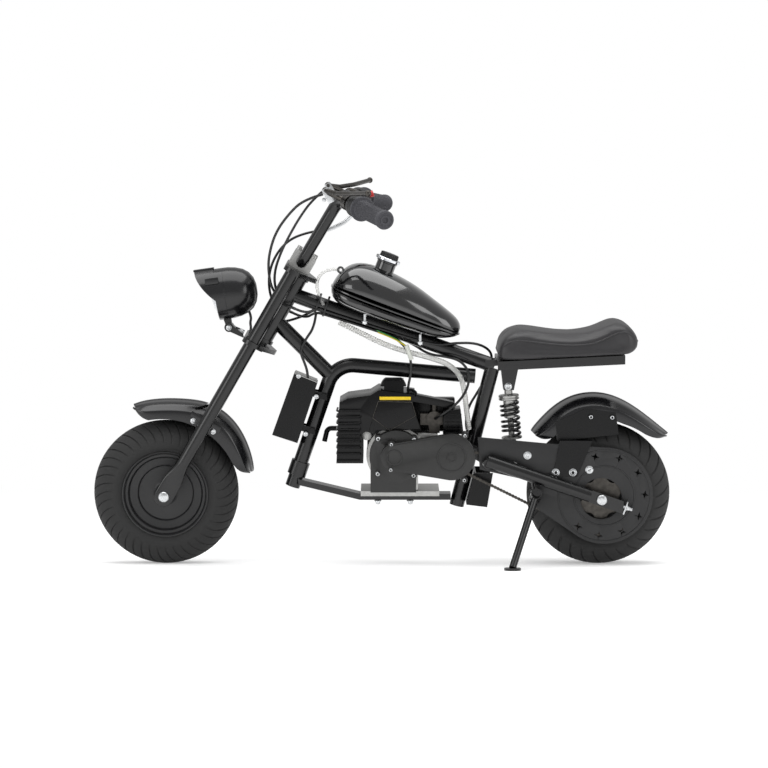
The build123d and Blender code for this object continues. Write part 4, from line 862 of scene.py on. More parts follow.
class Rims(bpy.types.Operator):
    """Both pressed steel rims and the axles' heads, nuts and threads"""

    bl_idname = "minibike.rims"
    bl_label = "Rims and axles"

    def execute(self, context):
        rim = painted(pressed_rim(FRONT_AXLE, FRONT_TYRE_WIDTH, FRONT_HUB_HALF), "satin_black_enamel")
        handed_over(rim, "front_wheel_disc", "front_wheel", "rim_black", "front_rim")
        rim = painted(pressed_rim(REAR_AXLE, REAR_TYRE_WIDTH, REAR_HUB_HALF), "satin_black_enamel")
        handed_over(rim, "rear_wheel_disc", "rear_wheel", "rim_black", "rear_rim")
        axle = painted(axle_ends(FRONT_AXLE, FRONT_AXLE_HALF, AXLE_HEAD_R), "zinc_plated_steel")
        handed_over(axle, "front_axle_bolt", "fork", "bright_steel", "front_axle")
        axle = painted(axle_ends(REAR_AXLE, REAR_AXLE_HALF, AXLE_HEAD_R), "zinc_plated_steel")
        handed_over(axle, "rear_axle_bolt", "frame", "bright_steel", "rear_axle")
        return {"FINISHED"}


# Seat

# x, top, piping, underside, half width, all in millimetres
SEAT_STATIONS = (
    (-489.5, 443.0, 441.0, 435.0, 54.0),
    (-487.5, 449.0, 444.0, 430.5, 65.0),
    (-484.0, 454.5, 448.0, 426.5, 73.0),
    (-478.5, 461.5, 453.0, 422.0, 78.0),
    (-471.0, 469.0, 459.5, 418.8, 81.0),
    (-462.0, 472.5, 462.5, 417.4, 82.5),
    (-451.0, 472.5, 461.0, 416.6, 83.0),
    (-437.0, 469.0, 456.0, 415.9, 83.0),
    (-420.0, 461.5, 447.0, 415.0, 83.0),
    (-400.0, 454.0, 439.5, 414.0, 83.0),
    (-375.0, 450.0, 436.5, 412.8, 83.0),
    (-345.0, 449.0, 437.0, 411.3, 83.0),
    (-315.0, 452.0, 439.5, 409.8, 83.0),
    (-285.0, 456.5, 443.0, 408.3, 83.0),
    (-262.0, 459.0, 444.5, 407.2, 82.5),
    (-244.0, 458.0, 443.5, 406.3, 81.5),
    (-232.0, 451.0, 438.0, 405.7, 79.0),
    (-224.5, 441.0, 431.0, 405.3, 75.0),
    (-221.0, 431.0, 423.5, 407.0, 69.0),
    (-220.0, 423.0, 417.0, 411.5, 62.0),
)
SEAT_CROWN = 2.0
SEAT_VOXEL = 5.0
# how far the cover may swell, and the level below which the tray holds it
SEAT_SWELL = 5.0
SEAT_HELD = 420.0
SWELL_FRAMES = 20
WELT_R = 1.7
WELT_LIFT = 0.2


def seat_ring(x, top, piping, base, half):
    """One section across the seat: flat base, bulging side, piping groove, crowned top."""
    side = [
        (half - 7.0, base), (half - 1.5, base + 1.5), (half, base + 5.0),
        (half + 0.6, base + (piping - base) * 0.45), (half - 0.4, piping - 3.0), (half - 2.6, piping),
        (half - 0.4, piping + 2.6), (half - 1.2, piping + (top - piping) * 0.5),
        (half - 6.0, top - 2.4), (half - 15.0, top + 0.6),
        (half * 0.62, top + SEAT_CROWN * 0.6), (half * 0.3, top + SEAT_CROWN * 0.93),
    ]
    ring = [(half * 0.5, base)] + side + [(0.0, top + SEAT_CROWN)]
    ring += [(-y, z) for y, z in reversed(side)] + [(-half * 0.5, base), (0.0, base)]
    return [(x, y, z) for y, z in ring]


def swollen(piece, voxel, cap, held, pressure=4.0):
    """Swells a pad as cloth under pressure; what is held stays, and no point moves further than the cap."""
    scene = bpy.context.scene
    modified(piece, "REMESH", mode="VOXEL", voxel_size=voxel)
    piece.data.transform(Matrix.Scale(MM, 4))
    rest = [vertex.co.copy() for vertex in piece.data.vertices]
    group = piece.vertex_groups.new(name="held")
    group.add([index for index, place in enumerate(rest) if held(place / MM)], 1.0, "REPLACE")
    cloth = piece.modifiers.new("Swell", "CLOTH")
    cloth.settings.use_pressure = True
    cloth.settings.uniform_pressure_force = pressure
    cloth.settings.effector_weights.gravity = 0.0
    cloth.settings.vertex_group_mass = group.name
    for number in range(1, SWELL_FRAMES + 1):
        scene.frame_set(number)
    take(piece)
    bpy.ops.object.modifier_apply(modifier=cloth.name)
    scene.frame_set(1)
    for vertex, start in zip(piece.data.vertices, rest):
        move = vertex.co - start
        if move.length > cap * MM:
            vertex.co = start + move * (cap * MM / move.length)
    piece.data.transform(Matrix.Scale(1.0 / MM, 4))
    piece.vertex_groups.clear()
    modified(piece, "SMOOTH", factor=0.5, iterations=2)
    return modified(piece, "SUBSURF", levels=1, render_levels=1)


def welt(cushion):
    """The piping round the seat, laid on the swollen cover."""
    left = [(x, half, piping) for x, _, piping, _, half in SEAT_STATIONS[2:-2]]
    right = [(x, -y, z) for x, y, z in reversed(left)]
    across = (52.0, 26.0, 0.0, -26.0, -52.0)
    front = [(-216.0, y, 418.0) for y in across]
    rear = [(-492.0, y, 441.5) for y in reversed(across)]
    laid = []
    for place in left + front + right + rear:
        _, spot, normal, _ = cushion.closest_point_on_mesh(Vector(place))
        laid.append(spot + normal * WELT_LIFT)
    return smoothed(tube(laid, WELT_R, loop=True, resolution=6))


class Seat(bpy.types.Operator):
    """The padded seat with its piped edge"""

    bl_idname = "minibike.seat"
    bl_label = "Seat"

    def execute(self, context):
        cushion = skin([seat_ring(*station) for station in SEAT_STATIONS])
        modified(cushion, "SUBSURF", levels=2, render_levels=2)
        swollen(cushion, SEAT_VOXEL, SEAT_SWELL, lambda place: place.z < SEAT_HELD)
        smoothed(cushion, 60.0)
        bpy.context.view_layer.update()
        cushion = fused(cushion, welt(cushion))
        painted(cushion, "seat_vinyl")
        handed_over(cushion, "seat_cushion", "frame", "seat_cover", "seat")
        return {"FINISHED"}


# Fuel tank, in its own tilted frame: u along it, h above its seam

TANK_CENTRE = Vector((-22.5, 0.0, 498.0))
TANK_TILT = math.radians(20.8)
TANK_FRAME = Matrix.Translation(TANK_CENTRE) @ Matrix.Rotation(-TANK_TILT, 4, "Y")
# u, height of the top, half width at the seam, depth of the pan
TANK_STATIONS = (
    (-131.0, 6.0, 14.0, 2.0), (-129.5, 13.0, 22.0, 5.0), (-125.0, 20.5, 31.0, 9.0),
    (-116.0, 27.0, 40.0, 14.0), (-102.0, 32.5, 47.0, 20.0), (-84.0, 38.5, 52.5, 25.0),
    (-62.0, 45.0, 55.0, 27.0), (-36.0, 53.5, 62.5, 28.0), (-8.0, 60.0, 68.5, 28.5),
    (22.0, 64.0, 72.0, 29.0), (50.0, 66.0, 73.0, 29.5), (76.0, 65.5, 71.0, 29.5),
    (96.0, 61.0, 65.0, 29.0), (111.0, 52.5, 56.0, 27.0), (121.0, 40.0, 45.0, 22.0),
    (128.0, 25.0, 32.0, 14.0), (131.0, 12.0, 20.0, 6.0), (132.0, 5.0, 12.0, 2.0),
)
TANK_STEPS = 20
PAN_INSET = 2.5
SEAM_HALF = 1.5
SEAM_OUT_ENDS = 1.5
SEAM_OUT_SIDES = 3.0
# cuts the tank clear of the backbone under it
BACKBONE_ROOM_R = 14.8
NECK_U = 48.0
CAP_RIBS = 24
# turns the Y axis that profiles spin about up
UPRIGHT = Matrix.Rotation(math.radians(90), 4, "X")
# lays a slab's outline flat, along and across
LAID_FLAT = Matrix(((1, 0, 0, 0), (0, 0, 1, 0), (0, 1, 0, 0), (0, 0, 0, 1)))


def tank_shell(side):
    """The stamped upper shell for side 1 or the shallower pan for side -1."""
    rings = []
    for u, top, half, pan in TANK_STATIONS:
        height, width, roundness = (top, half, 0.86) if side > 0 else (-pan, half - PAN_INSET, 0.5)
        ring = []
        for index in range(TANK_STEPS + 1):
            angle = math.pi * index / TANK_STEPS
            y = width * math.copysign(abs(math.cos(angle)) ** 0.82, math.cos(angle))
            ring.append((u, y, height * math.sin(angle) ** roundness))
        rings.append(ring)
    return skin(rings)


def tank_seam():
    """The rolled flange where shell and pan meet."""
    outline = []
    for u, _, half, _ in TANK_STATIONS:
        end = 1 if u > 100 else -1 if u < -110 else 0
        outline.append((u + SEAM_OUT_ENDS * end, half + SEAM_OUT_SIDES))
    seam = slab(outline + [(u, -y) for u, y in reversed(outline)], -SEAM_HALF, SEAM_HALF)
    seam.data.transform(LAID_FLAT)
    return softened(tidy_mesh(seam), 0.6)


def filler_cap():
    """The chrome ring on the neck and the ribbed cap in it."""
    ring = turned([(15.0, 82.3), (23.6, 82.3), (24.4, 83.2), (24.4, 87.4), (23.2, 88.6), (15.0, 88.6)],
                  (NECK_U, 0, 0), turn=UPRIGHT)
    cap = bar((NECK_U, 0, 88.6), (NECK_U, 0, 98.0), 17.5, 16.5, sides=48)
    rib = bar((17.3, 0, 89.0), (16.5, 0, 97.4), 1.3, sides=8)
    neck = Matrix.Translation((NECK_U, 0, 0))
    ribs = copied(rib, [neck @ Matrix.Rotation(math.tau * n / CAP_RIBS, 4, "Z") for n in range(CAP_RIBS)])
    cap = painted(softened(fused(cap, ribs), 0.6), "grained_nylon")
    return fused(painted(smoothed(ring), "bright_chrome"), cap)


class FuelTank(bpy.types.Operator):
    """The fuel tank with its seam, neck, cap and eye"""

    bl_idname = "minibike.fuel_tank"
    bl_label = "Fuel tank"

    def execute(self, context):
        upper, pan = (modified(tank_shell(side), "SUBSURF", levels=1, render_levels=1) for side in (1, -1))
        neck = turned([(19.0, 50.0), (19.0, 78.0), (20.4, 79.0), (20.4, 81.0), (17.0, 82.0), (17.0, 50.0)],
                      (NECK_U, 0, 0), turn=UPRIGHT)
        eye = turned([(3.0, -3.0), (7.0, -3.0), (7.0, 3.0), (3.0, 3.0)], (127.0, 0, 34.0), steps=24)
        tank = fused(upper, pan, tank_seam(), neck, eye)
        tank.data.transform(TANK_FRAME)
        tidy_mesh(tank, MERGE / 10)
        smoothed(painted(tank, "tank_lacquer"), 40.0)
        run = BACKBONE_REAR - BACKBONE_FRONT
        cut(tank, bar(BACKBONE_FRONT - run * 0.1, BACKBONE_REAR, BACKBONE_ROOM_R, sides=48))
        handed_over(tank, "tank_shell", "frame", "tank_black", "fuel_tank")
        lid = filler_cap()
        lid.data.transform(TANK_FRAME)
        handed_over(lid, "tank_cap", "frame", "black_plastic", "fuel_cap")
        return {"FINISHED"}


# Fenders

# angle up from +X in degrees, crown radius, skirt radius, half width
FRONT_FENDER = ((59.9, 154.4, 149.0, 30.0), (60.6, 153.8, 136.0, 38.0), (63.8, 152.8, 122.0, 44.0),
                (70.0, 150.4, 113.0, 47.0), (80.0, 146.3, 107.5, 48.0), (90.0, 144.6, 106.0, 48.0),
                (101.0, 145.8, 106.0, 48.0), (110.0, 149.3, 106.0, 48.0), (118.0, 152.2, 106.0, 48.0),
                (129.0, 154.6, 106.5, 48.0), (140.0, 154.4, 107.5, 48.0), (150.0, 153.6, 110.0, 48.0),
                (160.0, 153.0, 113.5, 47.5), (168.0, 153.4, 118.0, 46.0), (174.0, 154.0, 124.0, 43.0),
                (177.6, 154.4, 132.0, 37.0), (179.0, 153.0, 143.0, 28.0))
FRONT_CENTRE = Vector((409.0, 0.0, 179.0))
REAR_FENDER = ((30.0, 142.0, 124.0, 50.0), (32.2, 142.6, 114.0, 56.0), (41.0, 141.4, 101.0, 59.5),
               (52.5, 142.6, 99.0, 60.0), (62.3, 144.6, 99.0, 60.0), (71.1, 146.0, 100.0, 60.0),
               (79.0, 146.5, 100.5, 60.0), (88.0, 146.4, 101.0, 60.0), (97.0, 145.4, 102.0, 60.0),
               (106.5, 143.4, 104.0, 60.0), (117.0, 141.4, 105.0, 59.5), (128.7, 141.0, 108.0, 58.5),
               (140.4, 144.4, 115.0, 56.0), (149.0, 150.6, 125.0, 51.0), (153.4, 155.6, 136.0, 43.0),
               (154.8, 157.0, 147.0, 32.0))
REAR_CENTRE = Vector((-410.0, 0.0, 190.0))
FENDER_WALL = 2.4
# the tyre's room, cut out of what a fender's curve leaves too deep
TYRE_ROOM_R = 148.5


def fender_ring(radius, skirt, half):
    """(radius, y) pairs over the fender: skirt, channel, shoulder, raised rib, and the same back."""
    depth = radius - skirt
    side = [
        (skirt, half), (skirt + depth * 0.3, half + 0.3), (radius - depth * 0.45, half - 0.6),
        (radius - min(17.0, depth * 0.4), half - 3.2), (radius - min(11.0, depth * 0.3), half - 9.0),
        (radius - 7.0, half - 14.0), (radius - 4.6, half - 20.0), (radius - 2.2, half * 0.45),
        (radius - 0.8, 8.0), (radius + 0.6, 5.6), (radius + 1.2, 4.0),
    ]
    return side + [(radius + 1.3, 0.0)] + [(r, -y) for r, y in reversed(side)]


def fender(centre, table):
    """The moulded shell through a table's rings round a centre."""
    rings = []
    for degrees, radius, skirt, half in table:
        angle = math.radians(degrees)
        rings.append([centre + Vector((r * math.cos(angle), y, r * math.sin(angle)))
                      for r, y in fender_ring(radius, skirt, half)])
    shell = skin(rings, closed=False, caps=False)
    modified(shell, "SUBSURF", levels=2, render_levels=2)
    tidy_mesh(shell)
    modified(shell, "SOLIDIFY", thickness=FENDER_WALL, offset=-1.0)
    return smoothed(shell, 50.0)


class Fenders(bpy.types.Operator):
    """The two moulded fenders with their channels, ribs and tabs"""

    bl_idname = "minibike.fenders"
    bl_label = "Fenders"

    def execute(self, context):
        front = fender(FRONT_CENTRE, FRONT_FENDER)
        cut(front, crossbar(FRONT_AXLE + Vector((3, 0, 0)), 80.0, TYRE_ROOM_R, sides=160))
        slot = softened(block((0, 0, 0), (32.0, 120.0, 5.0)), 2.0)
        slot.data.transform(Matrix.Translation((349.0, 0.0, 311.0))
                            @ Matrix.Rotation(math.radians(10), 4, "Y"))
        cut(front, slot)
        tab_outline = [(318, 262), (374, 296), (370, 306), (314, 274)]
        tabs = [softened(slab(tab_outline, side * 46.0, side * 51.0), 0.8) for side in (-1, 1)]
        front = painted(smoothed(fused(front, *tabs), 40), "polished_polypropylene")
        handed_over(front, "front_mudguard", "fork", "fender_black", "front_fender")
        rear = fender(REAR_CENTRE, REAR_FENDER)
        cut(rear, crossbar(REAR_AXLE, 90.0, TYRE_ROOM_R, sides=160))
        rear = painted(smoothed(rear, 40), "polished_polypropylene")
        handed_over(rear, "rear_mudguard", "frame", "fender_black", "rear_fender")
        return {"FINISHED"}


# Headlight, in its own frame: y out of the lamp, x across it and z up its face

LAMP_CENTRE = Vector((315.0, 0.0, 528.0))
LAMP_TILT = math.radians(8.0)
LAMP_FRAME = (Matrix.Translation(LAMP_CENTRE) @ Matrix.Rotation(LAMP_TILT, 4, "Y")
              @ Matrix.Rotation(math.radians(-90), 4, "Z"))
LAMP_R = 50.0
LAMP_WALL = 2.4
LAMP_STEPS = 96
VISOR_REACH = 36.0
VISOR_ROWS = 10
VISOR_COLUMNS = 40


def lamp_shell():
    """The round bucket behind the lens and the ring that holds the lens."""
    outer = [(50.0, -9.5), (49.6, -20.0), (47.4, -34.0), (42.6, -48.0), (35.0, -58.5), (24.0, -66.0),
             (12.0, -69.4), (0.0, -69.8)]
    inner = [(r - LAMP_WALL if r > 3 else 0.0, y + 2.0) for r, y in reversed(outer)]
    shell = turned(outer + inner, steps=LAMP_STEPS)
    ring = turned([(46.0, -10.0), (49.0, -10.4), (50.0, -9.0), (50.0, 8.4), (49.0, 9.6), (47.2, 9.6),
                   (46.2, 8.4)], steps=LAMP_STEPS)
    return smoothed(fused(shell, ring), 35)


def visor():
    """The peak over the lens: its front edge sweeps back down the sides."""
    rings = []
    for row in range(VISOR_ROWS + 1):
        ring = []
        for index in range(VISOR_COLUMNS + 1):
            angle = math.radians(-100 + 200 * index / VISOR_COLUMNS)
            fall = abs(index / VISOR_COLUMNS - 0.5) * 2
            reach = VISOR_REACH * (1 - fall ** 2.6) * (1.0 if fall < 0.98 else 0.3) + 1.0
            radius = LAMP_R + 1.5 * max(0.0, 1 - (fall / 0.24) ** 2)
            out = 8.4 + reach * (row / VISOR_ROWS)
            ring.append((radius * math.sin(angle), out, radius * math.cos(angle)))
        rings.append(ring)
    peak = skin(rings, closed=False, caps=False)
    modified(peak, "SOLIDIFY", thickness=LAMP_WALL, offset=-1.0)
    crest = softened(block((0, 27.0, LAMP_R + 1.2), (15.0, 40.0, 4.0)), 0.8)
    return smoothed(fused(peak, crest), 35)


class Headlight(bpy.types.Operator):
    """The headlight's shell, visor, reflector, bulb and lens"""

    bl_idname = "minibike.headlight"
    bl_label = "Headlight"

    def execute(self, context):
        pads = [softened(block((side * 41.5, 12.0, 30.0), (8.0, 26.0, 12.0)), 1.2) for side in (1, -1)]
        shell = painted(fused(lamp_shell(), visor(), *pads), "polished_polypropylene")
        bowl = turned([(45.5, 4.0), (40.0, -8.0), (30.0, -20.0), (18.0, -28.0), (8.0, -30.0), (8.0, -31.0),
                       (18.5, -29.5), (31.0, -21.0), (41.0, -9.0), (46.0, 3.0)], steps=LAMP_STEPS)
        painted(smoothed(bowl), "bright_chrome")
        bulb = painted(smoothed(ball((0, -14.0, 0), 8.0)), "lamp_glass")
        stem = painted(bar((0, -31.0, 0), (0, -20.0, 0), 6.5), "zinc_plated_steel")
        lamp = fused(shell, bowl, bulb, stem)
        lamp.data.transform(LAMP_FRAME)
        handed_over(lamp, "lamp_body", "fork", "fender_black", "headlight")
        lens = turned([(0.0, 19.5), (12.0, 19.0), (24.0, 17.0), (36.0, 12.6), (43.0, 8.0), (45.4, 5.0),
                       (45.4, 3.4), (42.0, 4.6), (35.0, 9.6), (23.5, 14.4), (12.0, 16.6), (0.0, 17.2)],
                      steps=LAMP_STEPS)
        painted(smoothed(lens, 50), "lamp_glass")
        lens.data.transform(LAMP_FRAME)
        handed_over(lens, "lamp_lens", "fork", "lamp_lens", "headlight_lens")
        return {"FINISHED"}


# Cables, hose and ties

# each route's half that turns with the fork, then the half that the frame holds
ROUTES = {
    "brake_cable": (
        [(115.2, 112, 726), (152, 105, 716), (184, 92, 684), (207, 76, 650), (219, 62, 612), (222, 50, 582),
         (218, 43, 550), (209, 39, 532), steer_point(10, 38, 0)],
        [steer_point(-24, 38, 0), (151, 27, 492), beside_backbone(127, 62), beside_backbone(103, 62.5),
         beside_backbone(50, 70), beside_backbone(-5, 76), beside_backbone(-60, 84),
         beside_backbone(-105, 100), (-138, 15, 434), (-174, 11, 434), (-199, 0, 424), (-211.5, -20, 407),
         (-207, -24, 380), (-196, -25, 355), (-182, -25, 332), (-166, -25, 306), (-160, -25, 280),
         (-162, -30, 254), (-177, -46, 237), (-205, -64, 226), (-247, -71, 219), (-295, -71, 220),
         (-335, -71, 219), (-360, -71, 208), (-369.5, -71, 196), (-371, -71, 186.4)]),
    "stop_wire": (
        [(115, -112, 726.4), (140, -107, 706), (164, -96, 674), (185, -78, 638), (202, -60, 604),
         (213, -46, 572), (214, -38, 544), (206, -35, 520), steer_point(10, -34, -16)],
        [steer_point(-24, -34, -16), (154, -14, 478), beside_backbone(127, 10), beside_backbone(107, 27),
         beside_backbone(82, 36), beside_backbone(50, 43), beside_backbone(10, 49), beside_backbone(-22, 56),
         (-45, 26, 424), (-53, 27, 398), (-51, 27, 370), (-47, 26, 353), (-46, 26, 341)]),
    "throttle_cable": (
        [(56.4, -168.6, 683.4), (66, -160, 668), (86, -142, 653), (112, -116, 645), (150, -90, 642),
         (187, -82, 628), (212, -70, 600), (225, -57, 566), (225, -48, 533), (217, -43.5, 507),
         steer_point(10, -42, -36)],
        [steer_point(-24, -42, -36), (160, -30, 480), beside_backbone(127, -52), beside_backbone(103, -53),
         beside_backbone(50, -60), beside_backbone(-10, -56), beside_backbone(-60, -40),
         beside_backbone(-93, -10, 8.0), (-122, 21, 408), (-148, 27, 401), (-165, 33, 380), (-163, 37, 352),
         (-148, 46, 327), (-125, 54, 308), (-107, 51, 295), (-99, 36, 289)]),
}
LAMP_WIRE = [(261.4, 0, 494.2), (257, 1, 483), (259.5, 4, 472), (257, 8, 461), steer_point(27, 11, -91.1)]
BOX_WIRE = [beside_backbone(126, 22), (134, 15, 466), (152, 18.5, 441), (163, 19.5, 418), (153, 20, 394),
            (148, 20, 378), (147.5, 20, 366.6)]
HOSE_ROUTE = [beside_backbone(80, 0, HOSE_R), (39, 6, 450), (4, 12, 433), (-36, 15, 419), (-81, 16, 408),
              (-126, 20, 394), (-149, 23, 370), (-156, 24, 340), (-160, 24, 304), (-165, 24, 266)]
HOSE_LOOP = [(85, 0, 575), (104, 0, 577), (124, 2, 567), (131, 6, 548), (127, 11, 526), (116, 15, 507)]
TIE_STATIONS = (128.0, 112.0)
# finish, points and radius of the thin wires by the engine and their connector
THIN_WIRES = (
    ("green_sheath", [(14, 17, 459), (-8, 21, 450), (-28, 25, 441), (-42, 27, 430)], 1.2),
    ("yellow_sheath", [(12, 18, 455), (-10, 23, 447), (-30, 27, 438), (-44, 28, 428)], 1.2),
    ("milky_nylon", [(-43, 27, 431), (-48, 27, 417), (-53, 27, 403)], 4.4),
)


def tie(x):
    """A cable tie round the backbone and what lies along it, with its square lock."""
    run = (BACKBONE_FRONT - BACKBONE_REAR).normalized()
    centre = BACKBONE_FRONT + run * ((x - BACKBONE_FRONT.x) / run.x)
    ring = turned([(14.7, -2.0), (20.4, -2.0), (20.8, -1.2), (20.8, 1.2), (20.4, 2.0), (14.7, 2.0)],
                  centre, steps=48, turn=facing(run))
    lock = block(centre + Vector((0.0, 17.0, 12.5)), (5.4, 6.0, 5.0), (math.radians(40), 0.0, 0.0))
    return softened(fused(ring, lock), 0.4)


def distances(path):
    """How far along a path each of its points lies."""
    reach = [0.0]
    for before, after in zip(path, path[1:]):
        reach.append(reach[-1] + (after - before).length)
    return reach


def spread_along(path, count, steps):
    """The first count points of a path that is divided into equal steps."""
    reach = distances(path)
    spread, at = [], 0
    for index in range(count):
        goal = reach[-1] * index / steps
        while at < len(path) - 2 and reach[at + 1] < goal:
            at += 1
        span = reach[at + 1] - reach[at]
        spread.append(path[at].lerp(path[at + 1], (goal - reach[at]) / span if span else 0.0))
    return spread


def route_path(points):
    """Close points along a smooth route, read back from its curve."""
    probe = curve_along(points, 3, 24)
    bpy.context.view_layer.update()
    mesh = bpy.data.meshes.new_from_object(probe)
    path = [vertex.co.copy() for vertex in mesh.vertices]
    bpy.data.objects.remove(probe)
    bpy.data.meshes.remove(mesh)
    return path


def coil_round(points, radius, wire, pitch, per_turn=10):
    """A wire wound round a route at a radius."""
    route = route_path(points)
    count = int(distances(route)[-1] / pitch * per_turn)
    path = spread_along(route, count, count - 1)
    side = Vector((0.0, 1.0, 0.0))
    winding = []
    for index, place in enumerate(path):
        way = (path[min(index + 1, count - 1)] - path[max(index - 1, 0)]).normalized()
        side = (side - way * side.dot(way)).normalized()
        across = way.cross(side)
        angle = math.tau * index / per_turn
        winding.append(place + (side * math.cos(angle) + across * math.sin(angle)) * radius)
    return tube(winding, wire, order=2, sides=1, resolution=1)


def bridge(top, low, radius):
    """The free length between the half that turns with the fork and the half on the frame."""
    lead = 9.0
    top_end, low_end = Vector(top[-1]), Vector(low[0])
    out = (top_end - Vector(top[-2])).normalized()
    back = (low_end - Vector(low[1])).normalized()
    return tube([top_end - out, top_end + out * lead, low_end + back * lead, low_end - back], radius)


class Cables(bpy.types.Operator):
    """Control cables, wires, the clear vent hose and the cable ties"""

    bl_idname = "minibike.cables"
    bl_label = "Cables and hose"

    def execute(self, context):
        tops, lows = [], []
        for name, (top, low) in ROUTES.items():
            tops.append(tube(top, CABLE_R))
            lows.append(tube(low, CABLE_R))
            link = painted(smoothed(bridge(top, low, CABLE_R + 0.3)), "cable_sheath")
            handed_over(link, name + "_bridge", None, "cable_rubber")
            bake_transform(link)
        tops.append(tube(LAMP_WIRE, CABLE_R))
        lows.append(tube(BOX_WIRE, CABLE_R))
        elbow = painted(smoothed(tube(ROUTES["throttle_cable"][0][:4], 4.0)), "zinc_plated_steel")
        sleeve = bar((56.0, -169.0, 684.0), (61.5, -164.0, 675.0), 5.6)
        elbow = fused(elbow, painted(softened(sleeve, 0.5), "cable_sheath"))
        top = fused(painted(smoothed(fused(*tops)), "cable_sheath"), elbow)
        handed_over(top, "bar_cables", "fork", "cable_rubber", "fork_cables")
        ties = [painted(tie(x), "grained_nylon") for x in TIE_STATIONS]
        wires = [painted(smoothed(tube(points, radius)), finish) for finish, points, radius in THIN_WIRES]
        low = fused(painted(smoothed(fused(*lows)), "cable_sheath"), *ties, *wires)
        handed_over(low, "frame_harness", "frame", "cable_rubber", "frame_cables")
        hose = tube(HOSE_ROUTE, HOSE_R - 1.0)
        coil = coil_round(HOSE_ROUTE, HOSE_R - 0.9, wire=0.8, pitch=4.6)
        hose = smoothed(painted(fused(hose, coil, tube(HOSE_LOOP, 3.0)), "clear_vinyl"))
        handed_over(hose, "clear_vent_hose", "frame", "hose_clear", "spiral_hose")
        return {"FINISHED"}


# Handlebar

BAR_END = Vector((-0.9, 308.0, 688.5))
BAR_KNEE = Vector((83.0, 86.0, 717.0))
BAR_BORE = 11.15
GRIP_LENGTH = 122.0
GRIP_RIBS = 28


def on_side(point, side):
    return Vector((point[0], point[1] * side, point[2]))


def on_bar(profile, side, steps):
    """Spins a profile about the handlebar's end, where 0 along it is the end itself."""
    end = on_side(BAR_END, side)
    way = (end - on_side(BAR_KNEE, side)).normalized()
    return smoothed(turned(profile, end, steps=steps, turn=facing(way)), 30)


def grip(side):
    """A ribbed rubber grip with its flange and ringed end cap, closed over the bar's end."""
    inner = -GRIP_LENGTH
    profile = [(BAR_BORE, inner), (20.0, inner), (23.0, inner + 0.8), (23.5, inner + 3.5),
               (22.6, inner + 6.4), (17.4, inner + 7.4)]
    pitch = (GRIP_LENGTH - 18.0) / GRIP_RIBS
    for index in range(GRIP_RIBS):
        start = inner + 10.0 + pitch * index
        profile += [(16.0, start), (16.0, start + pitch * 0.42), (15.0, start + pitch * 0.55),
                    (15.0, start + pitch * 0.88)]
    profile += [(16.0, -6.0), (17.4, -5.0), (17.8, 0.5), (16.8, 3.4), (15.0, 4.2), (13.4, 4.2),
                (12.8, 3.2), (9.4, 3.2), (8.8, 4.2), (5.6, 4.2), (4.8, 1.8), (0.0, 1.6), (0.0, 0.4),
                (BAR_BORE, 0.4)]
    return on_bar(profile, side, 64)


def housing(side):
    """The clamshell switch housing inboard of a grip."""
    profile = [(BAR_BORE, -156.0), (17.0, -156.0), (20.4, -154.0), (21.0, -151.0), (21.0, -140.4),
               (20.2, -140.0), (20.2, -139.0), (21.0, -138.6), (21.0, -127.0), (20.0, -124.0),
               (17.0, -123.0), (BAR_BORE, -123.0)]
    return on_bar(profile, side, 56)


class Bars(bpy.types.Operator):
    """Grips, switch housings with their screws and stop button, and lever perches"""

    bl_idname = "minibike.bars"
    bl_label = "Handlebar dressing"

    def execute(self, context):
        rubber = painted(fused(grip(1), grip(-1)), "grip_rubber")
        handed_over(rubber, "ribbed_grips", "fork", "grip_rubber", "grips")
        shells = painted(fused(housing(1), housing(-1)), "grained_nylon")
        way = (BAR_END - BAR_KNEE).normalized()
        screws = []
        for side in (1, -1):
            for back, lift in ((146.0, 1), (131.0, -1)):
                centre = on_side(BAR_END - way * back, side)
                screws.append((centre + Vector((-20.6 * 0.94, 0, lift * 7.0)), (-0.94, 0, lift * 0.34)))
        shells = fused(shells, painted(bolts(screws, 2.6, 1.4), "zinc_plated_steel"))
        perches = []
        for side in (1, -1):
            perches.append(block((105.0, side * 112.0, 724.0), (13.0, 12.0, 30.0), (0.0, RAKE, 0.0)))
            perches.append(bar((113.0, side * 118.0, 716.0), (113.0, side * 121.5, 716.0), 4.0, sides=20))
        perches = painted(softened(fused(*perches), 1.2), "zinc_plated_steel")
        handed_over(perches, "lever_perches", "fork", "bright_steel")
        stop = on_side(BAR_END - way * 139.0, -1)
        button = softened(bar(stop + Vector((-17.0, 0, 6.0)), stop + Vector((-27.0, 0, 9.5)), 6.4), 0.8)
        shells = fused(shells, painted(button, "signal_red_abs"))
        handed_over(shells, "bar_switch_housings", "fork", "black_plastic", "switch_housings")
        return {"FINISHED"}


# Fork, shock and drive

FORK_Y = 64.0
FORK_AHEAD = 15.0
# from the steering head down the axis to the level of the front axle
FORK_DROP = 440.05
FORK_SIDES = 32
# height above the axle along the steering axis, half width ahead, half thickness across
FORK_STATIONS = (
    (-19.0, 5.0, 3.2), (-17.8, 9.5, 4.0), (-13.0, 14.6, 4.2), (-6.0, 18.2, 4.2), (0.0, 19.0, 4.2),
    (12.0, 19.0, 4.2), (30.0, 18.6, 4.3), (42.0, 17.2, 5.6), (54.0, 15.0, 8.6), (66.0, 13.2, 11.6),
    (76.0, 12.7, 12.7), (90.0, 12.7, 12.7), (300.0, 12.7, 12.7), (502.4, 12.7, 12.7),
)


